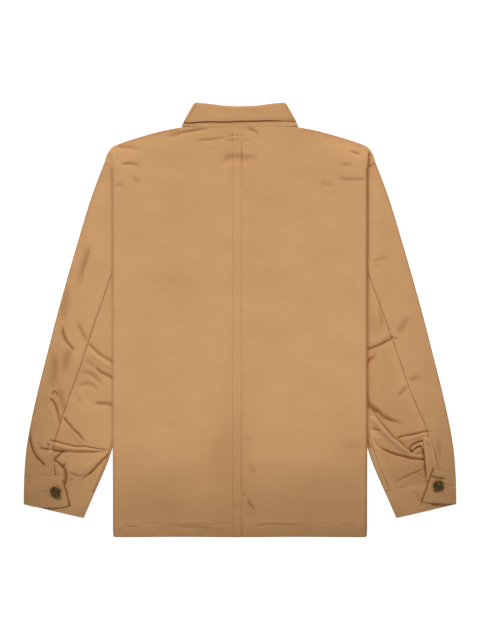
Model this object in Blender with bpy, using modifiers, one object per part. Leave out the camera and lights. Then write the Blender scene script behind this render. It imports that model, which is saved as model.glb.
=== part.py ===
"""Shirt jacket lying flat, face down: each piece that is cut and sewn is one thin wall of cloth.

The fronts lie on the ground, the sleeves lie in the tucked sides, and the two backs lie on top.
+X is the wearer's right as seen from behind, +Y runs from the hem to the collar, +Z is up. The
origin is on the ground, under the middle of the jacket's outline.
"""

import math
from collections import namedtuple

import bmesh
import bpy
from mathutils import Vector

MM = 0.001

# Walls and clearances, in millimetres.
CLOTH = 1.5
FIRM_CLOTH = 2.0
SEAM_GAP = 0.3
GROUND_LAYER = CLOTH / 2

# Where a height or a share changes smoothly from one value to another, in millimetres or as
# shares of a length: see ramp.
Span = namedtuple("Span", "start end")

# Body.
SIDE_ROLL = 1.6
LAP_RISE = CLOTH + SEAM_GAP
FRONT_INSET = 1.5
LEFT_BAND_LIFT = 3.5
RIGHT_BAND_LIFT = 5.5
COLLAR_LIFT = 2.95
NECK_Y = 339.5
CORNER_Y = 306.5
UNDERARM_Y = 40.0
SEAM_RUN_IN = 9.0
SHOULDER_SEAM_Z = 5.2
ROWS_FOLLOW_SHOULDER = Span(60.0, CORNER_Y)
BACK_OFF_BANDS = Span(20.0, 95.0)
BACK_ONTO_SLEEVE = Span(105.0, 205.0)
BACK_OFF_LAP = Span(11.0, 24.0)
FRONT_OFF_BUTTONS = Span(19.0, 66.0)
FRONT_ONTO_COLLAR = Span(176.0, 202.0)
FRONT_OFF_COLLAR = Span(103.0, 128.0)
SHOULDER_SEAM_START = Span(103.0, 113.0)
SHOULDER_SEAM_END = Span(195.0, 212.0)
ARMHOLE_OPENS = Span(UNDERARM_Y - 5.0, UNDERARM_Y + 25.0)

# Sleeve.
SLEEVE_UNDER_BODY = 6.2
SLEEVE_PAIR = 2.8
SLEEVE_LOFT = 2.2
INNER_SEAM = 9.0
SLANTED_SEAM_GAP = 0.56
UNDERARM_SEAM_GAP = 1.3
SEAM_TURNS_WITH_ARMHOLE = Span(0.7, 1.0)
SLEEVE_OFF_BODY = Span(15.0, 48.0)
LOFT_OUTSIDE_BODY = Span(4.0, 30.0)
LOFT_FROM_CUFF = Span(0.0, 0.12)
ARMHOLE_CURVE = Span(0.55, 1.0)
RIDGE_START = Span(0.0, 0.25)
RIDGE_END = Span(0.75, 1.0)
VENT_WALL = 1.2
VENT_CLEARANCE = 0.6

# Collar.
FALL_TOP = 10.6
FALL_GROUND = FIRM_CLOTH / 2
STAND_TOP = 8.2
STAND_GROUND = 3.6

# Cuff and buttons.
CUFF_GROUND = FIRM_CLOTH / 2
CUFF_UNDER_END = 4.2
CUFF_OVER_SLEEVE = 5.8
CUFF_OVER_END = 7.5
BUTTON_RADIUS = 9.75
CUFF_BUTTON_HEIGHT = 4.4
FRONT_BUTTON_HEIGHT = 3.0
FRONT_BUTTON_COUNT = 5
FRONT_BUTTON_TOP_Y = 208.0
FRONT_BUTTON_PITCH = 112.0

# Rows of the body from the hem to the shoulder. edge: where the back folds under, tuck: how far
# it then runs back in to the side seam or the armhole; centre, middle and side: heights of the
# back over the buttoned fronts, halfway out, and over the sleeve.
BodyRow = namedtuple("BodyRow", "y edge tuck centre middle side")
BODY = [
    BodyRow(-382.0, 221.8, 40.0, 8.2, 4.4, 9.2),
    BodyRow(-378.5, 223.6, 44.0, 8.2, 4.4, 9.2),
    BodyRow(-361.0, 224.0, 46.0, 8.2, 4.5, 9.3),
    BodyRow(-300.0, 224.0, 46.0, 8.2, 4.5, 9.8),
    BodyRow(-235.0, 224.0, 47.0, 8.2, 4.5, 13.8),
    BodyRow(-170.0, 224.0, 49.0, 8.2, 4.5, 14.5),
    BodyRow(-70.0, 224.0, 55.0, 8.2, 4.5, 14.5),
    BodyRow(40.0, 224.0, 62.0, 8.2, 4.8, 14.5),
    BodyRow(100.0, 224.0, 54.0, 8.2, 5.4, 14.5),
    BodyRow(160.0, 224.0, 43.0, 8.2, 6.2, 14.5),
    BodyRow(215.0, 224.2, 31.0, 8.2, 7.0, 14.5),
    BodyRow(250.0, 224.4, 20.0, 8.2, 7.4, 14.4),
    BodyRow(267.5, 224.6, 12.0, 8.2, 7.6, 14.2),
    BodyRow(279.0, 238.5, 10.0, 8.2, 7.8, 13.7),
    BodyRow(291.0, 234.5, 9.0, 8.2, 8.0, 12.4),
    BodyRow(302.0, 227.6, 8.0, 8.2, 8.2, 10.6),
    BodyRow(CORNER_Y, 222.2, 8.0, 8.2, 8.2, 9.8),
]

# The shoulder line and the front neckline, from the middle outward.
Outline = namedtuple("Outline", "x y")
SHOULDER = [
    Outline(0.0, NECK_Y),
    Outline(103.0, NECK_Y),
    Outline(110.0, 338.2),
    Outline(133.0, 333.6),
    Outline(154.0, 328.4),
    Outline(173.0, 322.8),
    Outline(191.0, 317.4),
    Outline(208.0, 311.6),
    Outline(222.2, CORNER_Y),
]
FRONT_NECK = [
    Outline(0.0, 248.0),
    Outline(15.0, 248.5),
    Outline(34.0, 254.0),
    Outline(58.0, 269.0),
    Outline(80.0, 291.5),
    Outline(94.0, 317.0),
    Outline(100.5, 337.0),
]

# Columns of a body panel, as distances from the middle; the last is where the side roll starts. A
# first column beyond the middle is the cloth under a lap: the left back laps over the right one at
# the centre seam, and the left front over the right one at the buttons.
BACK_COLUMNS = [-10.5, 7.0, 17.0, 45.0, 80.0, 113.0, 140.0, 165.0, 190.0, 210.0, 222.4]
LAPPED_COLUMNS = [-3.0, 11.0, 16.0, 24.0, 50.0, 80.0, 113.0, 140.0, 165.0, 190.0, 210.0, 222.4]
FRONT_COLUMNS = [-15.0, 19.0, 34.0, 50.0, 66.0, 80.0, 94.0, 100.5, 135.0, 175.0, 205.0, 222.4]

# Sections of the right sleeve from the cuff seam to the armhole: outer edge, inner edge, and
# where the back seam crosses, as a share of the width from the outer edge, on each sleeve.
SleeveRow = namedtuple("SleeveRow", "outer_x outer_y inner_x inner_y seam_left seam_right")
SLEEVE = [
    SleeveRow(380.8, -276.5, 254.8, -301.5, 0.350, 0.262),
    SleeveRow(377.0, -228.0, 233.5, -252.0, 0.310, 0.256),
    SleeveRow(367.8, -175.0, 218.5, -205.0, 0.316, 0.270),
    SleeveRow(354.9, -118.0, 203.5, -155.0, 0.330, 0.330),
    SleeveRow(339.0, -55.0, 193.0, -105.0, 0.376, 0.376),
    SleeveRow(323.7, 5.0, 186.0, -60.0, 0.423, 0.423),
    SleeveRow(305.3, 72.0, 180.5, -20.0, 0.459, 0.459),
    SleeveRow(284.9, 142.0, 177.0, 12.0, 0.488, 0.488),
    SleeveRow(263.6, 212.0, 174.5, 34.0, 0.514, 0.514),
    SleeveRow(238.2, 279.0, 174.0, 45.0, 0.530, 0.530),
]
ARMHOLE = [
    Outline(238.2, 279.0),
    Outline(223.0, 273.0),
    Outline(212.0, 254.0),
    Outline(201.0, 208.0),
    Outline(190.0, 143.0),
    Outline(180.0, 88.0),
    Outline(174.0, 45.0),
]

# The largest folds of the sleeves, as ridges between two places on one side of the jacket.
Ridge = namedtuple("Ridge", "side x1 y1 x2 y2 height spread")
RIDGES = [
    Ridge(-1, 322.0, -217.0, 238.0, -232.0, 2.6, 11.0),
    Ridge(-1, 262.0, -95.0, 300.0, -118.0, 1.8, 12.0),
    Ridge(-1, 296.0, -262.0, 240.0, -222.0, 2.0, 9.0),
    Ridge(1, 236.0, -170.0, 318.0, -232.0, 3.4, 12.0),
    Ridge(1, 330.0, -196.0, 262.0, -204.0, 2.6, 10.0),
    Ridge(1, 232.0, -120.0, 276.0, -178.0, 2.0, 10.0),
]

# Half of the collar from the middle of the back to the front end: the roll line, the fall's free
# edge and the stand's seam. The crease is where the collar turns from the back to the front.
CollarRow = namedtuple("CollarRow", "roll_x roll_y edge_x edge_y seam_x seam_y")
COLLAR_BACK = [
    CollarRow(0.0, 373.8, 0.0, 350.2, 0.0, 340.1),
    CollarRow(28.0, 375.2, 30.0, 350.4, 34.0, 340.1),
    CollarRow(54.0, 378.7, 60.0, 350.6, 68.0, 340.1),
]
COLLAR_CREASE = CollarRow(79.5, 383.2, 100.2, 348.5, 102.5, 342.6)
COLLAR_FRONT = [
    CollarRow(69.0, 365.0, 97.5, 327.0, 92.6, 318.4),
    CollarRow(56.0, 343.0, 95.0, 300.0, 79.0, 293.0),
    CollarRow(39.0, 318.5, 86.5, 267.0, 57.0, 270.6),
    CollarRow(24.0, 299.0, 73.0, 237.0, 33.0, 255.4),
    CollarRow(10.0, 281.5, 58.0, 210.0, 11.0, 249.8),
]
FALL_STEPS = [(1.0, 0.6), (1.4, 0.2), (3.6, 0.0)]
STAND_INSET = 3.45
STAND_CREASE_INSET = 4.3
STAND_CREASE_DROP = 1.0

# Cuffs, from the buttoned end over the outer edge and back: upper and lower edge of each section.
CuffRow = namedtuple("CuffRow", "up_x up_y low_x low_y height")
CUFFS = {
    -1: {
        "over": [
            CuffRow(312.5, -280.0, 301.5, -321.0, CUFF_OVER_END),
            CuffRow(317.0, -273.2, 305.5, -328.0, CUFF_OVER_END),
            CuffRow(331.0, -274.8, 325.0, -330.6, CUFF_OVER_END),
            CuffRow(346.0, -277.2, 345.0, -331.4, CUFF_OVER_END - 1.0),
            CuffRow(366.0, -277.2, 366.0, -329.0, CUFF_OVER_SLEEVE),
        ],
        "outer": CuffRow(380.8, -277.2, 382.0, -325.0, 0.0),
        "ground": [
            CuffRow(350.0, -283.0, 356.0, -331.0, CUFF_GROUND),
            CuffRow(315.0, -290.0, 325.0, -338.0, CUFF_GROUND),
            CuffRow(280.0, -297.0, 298.0, -344.2, CUFF_GROUND),
        ],
        "inner": CuffRow(255.2, -302.2, 275.5, -349.0, 0.0),
        "under": [
            CuffRow(282.0, -296.9, 298.0, -344.4, CUFF_UNDER_END),
            CuffRow(306.0, -292.0, 318.0, -339.6, CUFF_UNDER_END),
            CuffRow(326.0, -288.0, 338.0, -335.0, CUFF_UNDER_END),
        ],
    },
    1: {
        "over": [
            CuffRow(334.0, -274.0, 320.5, -312.0, CUFF_OVER_END),
            CuffRow(341.5, -264.5, 322.0, -320.5, CUFF_OVER_END),
            CuffRow(351.0, -264.6, 343.0, -322.6, CUFF_OVER_END),
            CuffRow(362.0, -268.0, 360.0, -323.4, CUFF_OVER_END - 0.6),
            CuffRow(372.0, -271.0, 372.0, -323.8, CUFF_OVER_SLEEVE),
        ],
        "outer": CuffRow(380.8, -277.2, 382.0, -325.0, 0.0),
        "ground": [
            CuffRow(350.0, -283.0, 356.0, -331.0, CUFF_GROUND),
            CuffRow(315.0, -290.0, 325.0, -338.0, CUFF_GROUND),
            CuffRow(280.0, -297.0, 298.0, -344.2, CUFF_GROUND),
        ],
        "inner": CuffRow(255.2, -302.2, 275.5, -349.0, 0.0),
        "under": [
            CuffRow(282.0, -296.9, 298.0, -344.4, CUFF_UNDER_END),
            CuffRow(306.0, -292.0, 318.0, -339.6, CUFF_UNDER_END),
            CuffRow(330.0, -287.2, 340.0, -334.6, CUFF_UNDER_END),
        ],
    },
}
CUFF_BUTTONS = {-1: Outline(324.7, -303.4), 1: Outline(349.0, -292.5)}

# Bindings on the sleeve openings: the middle of the strip at its upper and lower end.
Strip = namedtuple("Strip", "up_x up_y low_x low_y width")
VENTS = {
    -1: Strip(329.0, -214.0, 334.5, -268.0, 8.0),
    1: Strip(333.0, -212.0, 345.0, -256.0, 9.0),
}

COLOURS = {
    "cloth": (0.56, 0.33, 0.15, 1.0),
    "metal": (0.13, 0.10, 0.06, 1.0),
}
ROUGHNESS = {"cloth": 0.9, "metal": 0.4}
METALLIC = {"cloth": 0.0, "metal": 1.0}


def ramp(value, span):
    """0 up to the span's start, 1 from its end on, and a smooth S between them."""
    share = min(1.0, max(0.0, (value - span.start) / (span.end - span.start)))
    return share * share * (3.0 - 2.0 * share)


def read(rows, key, at, column):
    """A column of a table where its key has the value at, straight between rows."""
    if at <= getattr(rows[0], key):
        return getattr(rows[0], column)
    for low, high in zip(rows, rows[1:]):
        if at <= getattr(high, key):
            share = (at - getattr(low, key)) / (getattr(high, key) - getattr(low, key))
            return getattr(low, column) + share * (getattr(high, column) - getattr(low, column))
    return getattr(rows[-1], column)


def between(rows, share, column):
    """A column of a table at a share of its rows, on a smooth curve through them."""
    place = share * (len(rows) - 1)
    first = min(int(place), len(rows) - 2)
    part = place - first
    values = [getattr(rows[min(max(first + k, 0), len(rows) - 1)], column) for k in (-1, 0, 1, 2)]
    start, end = values[1], values[2]
    leave, arrive = (end - values[0]) / 2, (values[3] - start) / 2
    return (
        start * (1 + 2 * part) * (1 - part) ** 2
        + leave * part * (1 - part) ** 2
        + end * part**2 * (3 - 2 * part)
        + arrive * part**2 * (part - 1)
    )


def along(line, share):
    """The point at a share of the length of a line of outline points."""
    points = [Vector((p.x, p.y)) for p in line]
    lengths = [(b - a).length for a, b in zip(points, points[1:])]
    left = share * sum(lengths)
    for start, end, length in zip(points, points[1:], lengths):
        if left <= length:
            return start.lerp(end, left / length)
        left -= length
    return points[-1]


def half_turn(edge, inward, start_z, end_z, wall=CLOTH, steps=4):
    """A fold from one layer to another: a half circle whose outer face just reaches the edge."""
    radius = abs(start_z - end_z) / 2
    middle = (start_z + end_z) / 2
    points = []
    for k in range(steps + 1):
        angle = math.pi * k / steps
        place = edge + inward * (wall / 2 + radius * (1.0 - math.sin(angle)))
        points.append(Vector((place.x, place.y, middle + (start_z - middle) * math.cos(angle))))
    return points


def material(slot):
    """The Principled material of one slot, made once."""
    found = bpy.data.materials.get(slot)
    if found:
        return found
    made = bpy.data.materials.new(slot)
    made.use_nodes = True
    shader = made.node_tree.nodes["Principled BSDF"]
    shader.inputs["Base Color"].default_value = COLOURS[slot]
    shader.inputs["Roughness"].default_value = ROUGHNESS[slot]
    shader.inputs["Metallic"].default_value = METALLIC[slot]
    made.diffuse_color = COLOURS[slot]
    return made


def add_object(name, mesh, slot, collection):
    """A named object of the jacket, with its own copy of the slot's material."""
    own = material(slot).copy()
    own.name = f"{name}_{slot}"
    mesh.materials.append(own)
    made = bpy.data.objects.new(name, mesh)
    collection.objects.link(made)
    return made


def add_cloth(name, sections, side, wall, collection):
    """A piece of cloth through its sections, given its wall by Solidify. side -1 mirrors it."""
    columns, rows = len(sections[0]) - 1, len(sections) - 1
    form = bmesh.new()
    bmesh.ops.create_grid(form, x_segments=columns, y_segments=rows, size=1.0)
    for vert in form.verts:
        column = round((vert.co.x + 1.0) / 2 * columns)
        row = round((vert.co.y + 1.0) / 2 * rows)
        place = sections[row][column]
        vert.co = Vector((place.x * side, place.y, place.z)) * MM
    mesh = bpy.data.meshes.new(name)
    form.to_mesh(mesh)
    form.free()
    mesh.shade_smooth()
    made = add_object(name, mesh, "cloth", collection)
    shell = made.modifiers.new("Wall", "SOLIDIFY")
    shell.thickness = wall * MM
    shell.offset = 0.0


def body_row_y(row, x, top_y):
    """Rows are level at the hem and follow the shoulder line or neckline at the top."""
    follow = ramp(row.y, ROWS_FOLLOW_SHOULDER)
    return row.y + (top_y - CORNER_Y) * follow


def back_height(row, x):
    """The back's middle surface: over the front bands, down beside them, up over the sleeve."""
    out = abs(x)
    down = (row.middle - row.centre) * ramp(out, BACK_OFF_BANDS)
    return row.centre + down + (row.side - row.middle) * ramp(out, BACK_ONTO_SLEEVE)


def shoulder_share(x):
    """How much of the shoulder seam's bend there is: none at the neck and the outer corner."""
    return ramp(x, SHOULDER_SEAM_START) * (1.0 - ramp(x, SHOULDER_SEAM_END))


def tucked_layer(row, edge, roll_z, sign):
    """The roll at the side fold, and the layer that runs back in to the seam inside the body."""
    turned_z = roll_z - sign * 2 * SIDE_ROLL
    inward = Vector((-1.0, 0.0))
    points = half_turn(Vector((edge, row.y)), inward, roll_z, turned_z)
    seam_x = edge - row.tuck
    closed = 1.0 - ramp(row.y, ARMHOLE_OPENS)
    back_z = row.side - 2 * SIDE_ROLL
    front_z = GROUND_LAYER + 2 * SIDE_ROLL
    meet_z = (back_z + front_z) / 2 + sign * (CLOTH + SEAM_GAP) / 2
    run_in_x = seam_x + min(SEAM_RUN_IN, row.tuck / 3)
    for x, share in (((edge + run_in_x) / 2, 0.0), (run_in_x, 0.0), (seam_x, closed)):
        points.append(Vector((x, row.y, turned_z + share * (meet_z - turned_z))))
    return points


def back_section(row, side):
    """One section of a back panel, from the centre seam round the side fold to its inner seam."""
    is_left = side < 0
    columns = LAPPED_COLUMNS if is_left else BACK_COLUMNS
    edge = row.edge
    scale = (edge - SIDE_ROLL) / columns[-1]
    is_top = row.y == CORNER_Y
    points = []
    for column in columns:
        x = column if column < 80.0 else column * scale
        top_y = read(SHOULDER, "x", abs(x), "y")
        z = back_height(row, x)
        if is_left:
            z += LAP_RISE * (1.0 - ramp(x, BACK_OFF_LAP))
        if is_top:
            z -= shoulder_share(x) * (z - shoulder_meet(1))
        points.append(Vector((x, body_row_y(row, x, top_y), z)))
    points[-1].y = row.y
    return points + tucked_layer(row, edge, points[-1].z, 1)[1:]


def shoulder_meet(sign):
    """Heights at which the back (1) and the front (-1) meet along the shoulder seam."""
    return SHOULDER_SEAM_Z + sign * (CLOTH + SEAM_GAP) / 2


def front_height(x, y, side):
    """The front's middle surface: on the ground, up over its buttons and over the collar."""
    out = abs(x)
    band = LEFT_BAND_LIFT if side < 0 else RIGHT_BAND_LIFT
    over_buttons = band * (1.0 - ramp(out, FRONT_OFF_BUTTONS))
    over_collar = COLLAR_LIFT * ramp(y, FRONT_ONTO_COLLAR) * (1.0 - ramp(out, FRONT_OFF_COLLAR))
    return GROUND_LAYER + max(over_buttons, over_collar)


def front_section(row, side):
    """One section of a front, from its buttoned edge round the side fold to its inner seam."""
    edge = row.edge - FRONT_INSET
    scale = (edge - SIDE_ROLL) / FRONT_COLUMNS[-1]
    is_top = row.y == CORNER_Y
    points = []
    for column in FRONT_COLUMNS:
        x = column if column < 110.0 else column * scale
        neck = read(FRONT_NECK, "x", abs(x), "y")
        top_y = neck if abs(x) <= FRONT_NECK[-1].x else read(SHOULDER, "x", x, "y") - FRONT_INSET
        y = body_row_y(row, x, top_y)
        z = front_height(x, y, side)
        if is_top:
            z += shoulder_share(x) * (shoulder_meet(-1) - z)
        points.append(Vector((x, y, z)))
    points[-1].y = row.y
    return points + tucked_layer(row, edge, points[-1].z, -1)[1:]


def sleeve_place(share, across):
    """A place on the sleeve in plan: share along it from the cuff, across it from outside."""
    outer = Vector((between(SLEEVE, share, "outer_x"), between(SLEEVE, share, "outer_y")))
    inner = Vector((between(SLEEVE, share, "inner_x"), between(SLEEVE, share, "inner_y")))
    hollow = along(ARMHOLE, across) - outer_to_inner_at_armhole(across)
    return outer.lerp(inner, across) + hollow * ramp(share, ARMHOLE_CURVE)


def outer_to_inner_at_armhole(across):
    """The straight line across the top of the sleeve, which the armhole curve leaves."""
    last = SLEEVE[-1]
    return Vector((last.outer_x, last.outer_y)).lerp(Vector((last.inner_x, last.inner_y)), across)


def sleeve_ground(place):
    """The lower layer: on the ground outside the body, over the front's tucked side inside it."""
    out = place.x - read(BODY, "y", place.y, "edge")
    return GROUND_LAYER + (SLEEVE_UNDER_BODY - GROUND_LAYER) * (1.0 - ramp(out, SLEEVE_OFF_BODY))


def ridge_height(side, place):
    """The height of the sleeve's largest folds at a place."""
    total = 0.0
    for ridge in RIDGES:
        if ridge.side != side:
            continue
        start, end = Vector((ridge.x1, ridge.y1)), Vector((ridge.x2, ridge.y2))
        run = end - start
        share = min(1.0, max(0.0, (place - start).dot(run) / run.length_squared))
        away = (place - start.lerp(end, share)).length
        ends = ramp(share, RIDGE_START) * (1.0 - ramp(share, RIDGE_END))
        total += ridge.height * ends * math.exp(-((away / ridge.spread) ** 2))
    return total


def sleeve_upper(side, share, across):
    """The upper layer's middle surface, as a point."""
    place = sleeve_place(share, across)
    out = place.x - read(BODY, "y", place.y, "edge")
    free = ramp(out, LOFT_OUTSIDE_BODY) * math.sin(math.pi * across)
    loft = SLEEVE_LOFT * free * ramp(share, LOFT_FROM_CUFF)
    folds = ridge_height(side, place) * free
    return Vector((place.x, place.y, sleeve_ground(place) + SLEEVE_PAIR + loft + folds))


def sleeve_lower(share, across):
    """The lower layer's middle surface, as a point."""
    place = sleeve_place(share, across)
    return Vector((place.x, place.y, sleeve_ground(place)))


def sleeve_width(share):
    """The sleeve's flat width at a share of its length."""
    return (sleeve_place(share, 1.0) - sleeve_place(share, 0.0)).length


def sleeve_fold(share, from_outside, start_z, end_z):
    """The fold at one edge of the flattened sleeve."""
    edge = sleeve_place(share, 0.0 if from_outside else 1.0)
    other = sleeve_place(share, 0.06 if from_outside else 0.94)
    return half_turn(edge, (other - edge).normalized(), start_z, end_z)


def seam_share(side, share):
    """Where the back seam crosses the sleeve, as a share of its width."""
    return between(SLEEVE, share, "seam_left" if side < 0 else "seam_right")


def seam_gap(share):
    """The gap at a sleeve seam, measured along a section, which meets the seam at a slant."""
    turned = ramp(share, SEAM_TURNS_WITH_ARMHOLE)
    return SLANTED_SEAM_GAP + (UNDERARM_SEAM_GAP - SLANTED_SEAM_GAP) * turned


def top_sleeve_section(side, share):
    """The top sleeve: from the back seam round the outer edge, below, and round the inner edge."""
    width = sleeve_width(share)
    roll = SLEEVE_PAIR / 2 / width
    seam = seam_share(side, share) - SLANTED_SEAM_GAP / 2 / width
    points = [sleeve_upper(side, share, seam + (roll - seam) * k / 4) for k in range(4)]
    points += sleeve_fold(share, True, sleeve_upper(side, share, roll).z, sleeve_lower(share, roll).z)
    points += [sleeve_lower(share, roll + (1 - 2 * roll) * k / 6) for k in range(1, 6)]
    lower_z, upper_z = sleeve_lower(share, 1 - roll).z, sleeve_upper(side, share, 1 - roll).z
    points += sleeve_fold(share, False, lower_z, upper_z)
    points.append(sleeve_upper(side, share, 1 - INNER_SEAM / width))
    return points


def under_sleeve_section(side, share):
    """The under sleeve: on the upper side, between the back seam and the inner seam."""
    width = sleeve_width(share)
    start = seam_share(side, share) + SLANTED_SEAM_GAP / 2 / width
    end = 1 - (INNER_SEAM + seam_gap(share)) / width
    return [sleeve_upper(side, share, start + (end - start) * k / 5) for k in range(6)]


def vent_section(side, step, steps):
    """A binding over the back seam's open end, made from the sleeve's own surface."""
    strip = VENTS[side]
    middle = Vector((strip.up_x, strip.up_y)).lerp(Vector((strip.low_x, strip.low_y)), step / steps)
    points = []
    for offset in (-strip.width / 2, 0.0, strip.width / 2):
        place = middle + Vector((offset, 0.0))
        share, across = sleeve_shares(place)
        z = sleeve_upper(side, share, across).z + CLOTH / 2 + SEAM_GAP + VENT_WALL / 2 + VENT_CLEARANCE
        points.append(Vector((place.x, place.y, z)))
    return points


def sleeve_shares(place):
    """The shares along and across the sleeve of a place in plan, by halving."""
    low, high = 0.0, 1.0
    for _ in range(30):
        share = (low + high) / 2
        outer, inner = sleeve_place(share, 0.0), sleeve_place(share, 1.0)
        run = inner - outer
        if run.cross(place - outer) > 0:
            high = share
        else:
            low = share
    return share, (place - outer).dot(run) / run.length_squared


def collar_sections(columns, heights):
    """Rows of the collar, from its wearer's left front end round the back to the right one.

    columns turns a collar row into this piece's points; heights gives each point's height on
    the back, and on the front, under the fronts."""
    turn = columns(COLLAR_CREASE)
    run = (turn[-1] - turn[0]).normalized()
    inward = Vector((run.y, -run.x)) * (1.0 if run.y < 0 else -1.0)
    if inward.x > 0:
        inward = -inward
    sections = []
    for k, (top_z, ground_z) in enumerate(heights):
        half = [Vector((*columns(row)[k], top_z)) for row in COLLAR_BACK]
        half += half_turn(turn[k], inward, top_z, ground_z, FIRM_CLOTH)
        half += [Vector((*columns(row)[k], ground_z)) for row in COLLAR_FRONT]
        mirrored = [Vector((-p.x, p.y, p.z)) for p in reversed(half[1:])]
        sections.append(mirrored + half)
    return sections


def fall_columns(row):
    """The fall in plan, from the roll line, where it turns down, to its free edge."""
    roll, edge = Vector((row.roll_x, row.roll_y)), Vector((row.edge_x, row.edge_y))
    down = (edge - roll).normalized()
    insets = [roll + down * inset for inset, _ in FALL_STEPS]
    return insets + [roll.lerp(edge, 0.5), edge]


def fall_heights():
    """The fall's heights on the back and the front, turned towards the stand at the roll line."""
    turned = [(FALL_TOP - bend, FALL_GROUND + bend) for _, bend in FALL_STEPS]
    return turned + [(FALL_TOP, FALL_GROUND)] * 2


def stand_columns(row):
    """The stand in plan, from under the roll line to the neck seam."""
    roll, seam = Vector((row.roll_x, row.roll_y)), Vector((row.seam_x, row.seam_y))
    top = roll + (seam - roll).normalized() * STAND_INSET
    if row == COLLAR_CREASE:
        top -= Vector((STAND_CREASE_INSET, STAND_CREASE_DROP))
        seam.x -= STAND_CREASE_INSET
    return [top, top.lerp(seam, 0.5), seam]


def cuff_sections(side, steps=4):
    """Rows of a cuff from its seam to its free edge, each from the buttoned end round the wrist."""
    rows = CUFFS[side]
    sections = []
    for step in range(steps + 1):
        share = step / steps

        def at(row):
            return Vector((row.up_x, row.up_y)).lerp(Vector((row.low_x, row.low_y)), share)

        def flat(name):
            return [Vector((*at(row), row.height)) for row in rows[name]]

        over, ground, under = flat("over"), flat("ground"), flat("under")
        inward = Vector((-1.0, -0.15)).normalized()
        section = over + half_turn(at(rows["outer"]), inward, over[-1].z, CUFF_GROUND, FIRM_CLOTH)
        section += ground
        inner = at(rows["inner"])
        section += half_turn(inner, -inward, CUFF_GROUND, CUFF_UNDER_END, FIRM_CLOTH)
        sections.append(section + under)
    return sections


def add_button(name, place, height, is_face_down, collection):
    """A domed metal button: a turned profile from the rim's back to the crown, in one piece."""
    radius = BUTTON_RADIUS
    profile = [
        Vector((0.0, height)),
        Vector((radius * 0.45, height * 0.94)),
        Vector((radius * 0.80, height * 0.76)),
        Vector((radius * 0.97, height * 0.48)),
        Vector((radius, height * 0.26)),
        Vector((radius * 0.92, 0.0)),
        Vector((0.0, 0.0)),
    ]
    mesh = bpy.data.meshes.new(name)
    form = bmesh.new()
    verts = [form.verts.new((p.x * MM, 0.0, p.y * MM)) for p in profile]
    for start, end in zip(verts, verts[1:]):
        form.edges.new((start, end))
    form.to_mesh(mesh)
    form.free()
    made = add_object(name, mesh, "metal", collection)
    turn = made.modifiers.new("Turned", "SCREW")
    turn.steps = 18
    turn.render_steps = 18
    turn.use_merge_vertices = True
    turn.merge_threshold = 0.00001
    made.location = place * MM
    if is_face_down:
        made.rotation_euler = (math.pi, 0.0, 0.0)
    return made


def build_body(collection):
    """The two backs, which lap at the centre seam, and the two fronts, which lap at the buttons."""
    for side, word in ((-1, "left"), (1, "right")):
        back = [back_section(row, side) for row in BODY]
        add_cloth(f"back_{word}", back, side, CLOTH, collection)
        front = [front_section(row, side) for row in BODY]
        add_cloth(f"front_{word}", front, side, CLOTH, collection)


def build_sleeves(collection):
    """Each sleeve's top and under piece, its binding and its cuff."""
    steps = 14
    for side, word in ((-1, "left"), (1, "right")):
        shares = [k / steps for k in range(steps + 1)]
        top = [top_sleeve_section(side, share) for share in shares]
        add_cloth(f"sleeve_top_{word}", top, side, CLOTH, collection)
        under = [under_sleeve_section(side, share) for share in shares]
        add_cloth(f"sleeve_under_{word}", under, side, CLOTH, collection)
        vent = [vent_section(side, step, 4) for step in range(5)]
        add_cloth(f"sleeve_binding_{word}", vent, side, VENT_WALL, collection)
        add_cloth(f"cuff_{word}", cuff_sections(side), side, FIRM_CLOTH, collection)


def build_collar(collection):
    """The fall, turned down over the stand."""
    add_cloth("collar_fall", collar_sections(fall_columns, fall_heights()), 1, FIRM_CLOTH, collection)
    stand = collar_sections(stand_columns, [(STAND_TOP, STAND_GROUND)] * 3)
    add_cloth("collar_stand", stand, 1, FIRM_CLOTH, collection)


def build_buttons(collection):
    """One button on each cuff, face up, and the row down the fronts, face down."""
    for side, word in ((-1, "left"), (1, "right")):
        spot = CUFF_BUTTONS[side]
        z = CUFF_OVER_END + FIRM_CLOTH / 2 + SEAM_GAP
        place = Vector((spot.x * side, spot.y, z))
        add_button(f"cuff_button_{word}", place, CUFF_BUTTON_HEIGHT, False, collection)
    for index in range(FRONT_BUTTON_COUNT):
        y = FRONT_BUTTON_TOP_Y - index * FRONT_BUTTON_PITCH
        place = Vector((0.0, y, LEFT_BAND_LIFT - SEAM_GAP))
        add_button(f"front_button_{index + 1}", place, FRONT_BUTTON_HEIGHT, True, collection)


def main():
    for item in list(bpy.data.objects):
        bpy.data.objects.remove(item)
    collection = bpy.data.collections.new("shirt_jacket")
    bpy.context.scene.collection.children.link(collection)
    build_body(collection)
    build_sleeves(collection)
    build_collar(collection)
    build_buttons(collection)


main()
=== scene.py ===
"""Shirt jacket laid flat, face down: its cloth, folds, seams, stitches and buttons on the frame.

Each piece of cloth is a thin shell on its solid's form, with its edges turned under where a maker
turns them, and its folds placed one by one. Tables and functions work in millimetres; x runs outward
from the middle of the jacket on both sides, and side -1 (the wearer's left) is mirrored at the end.
"""

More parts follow.
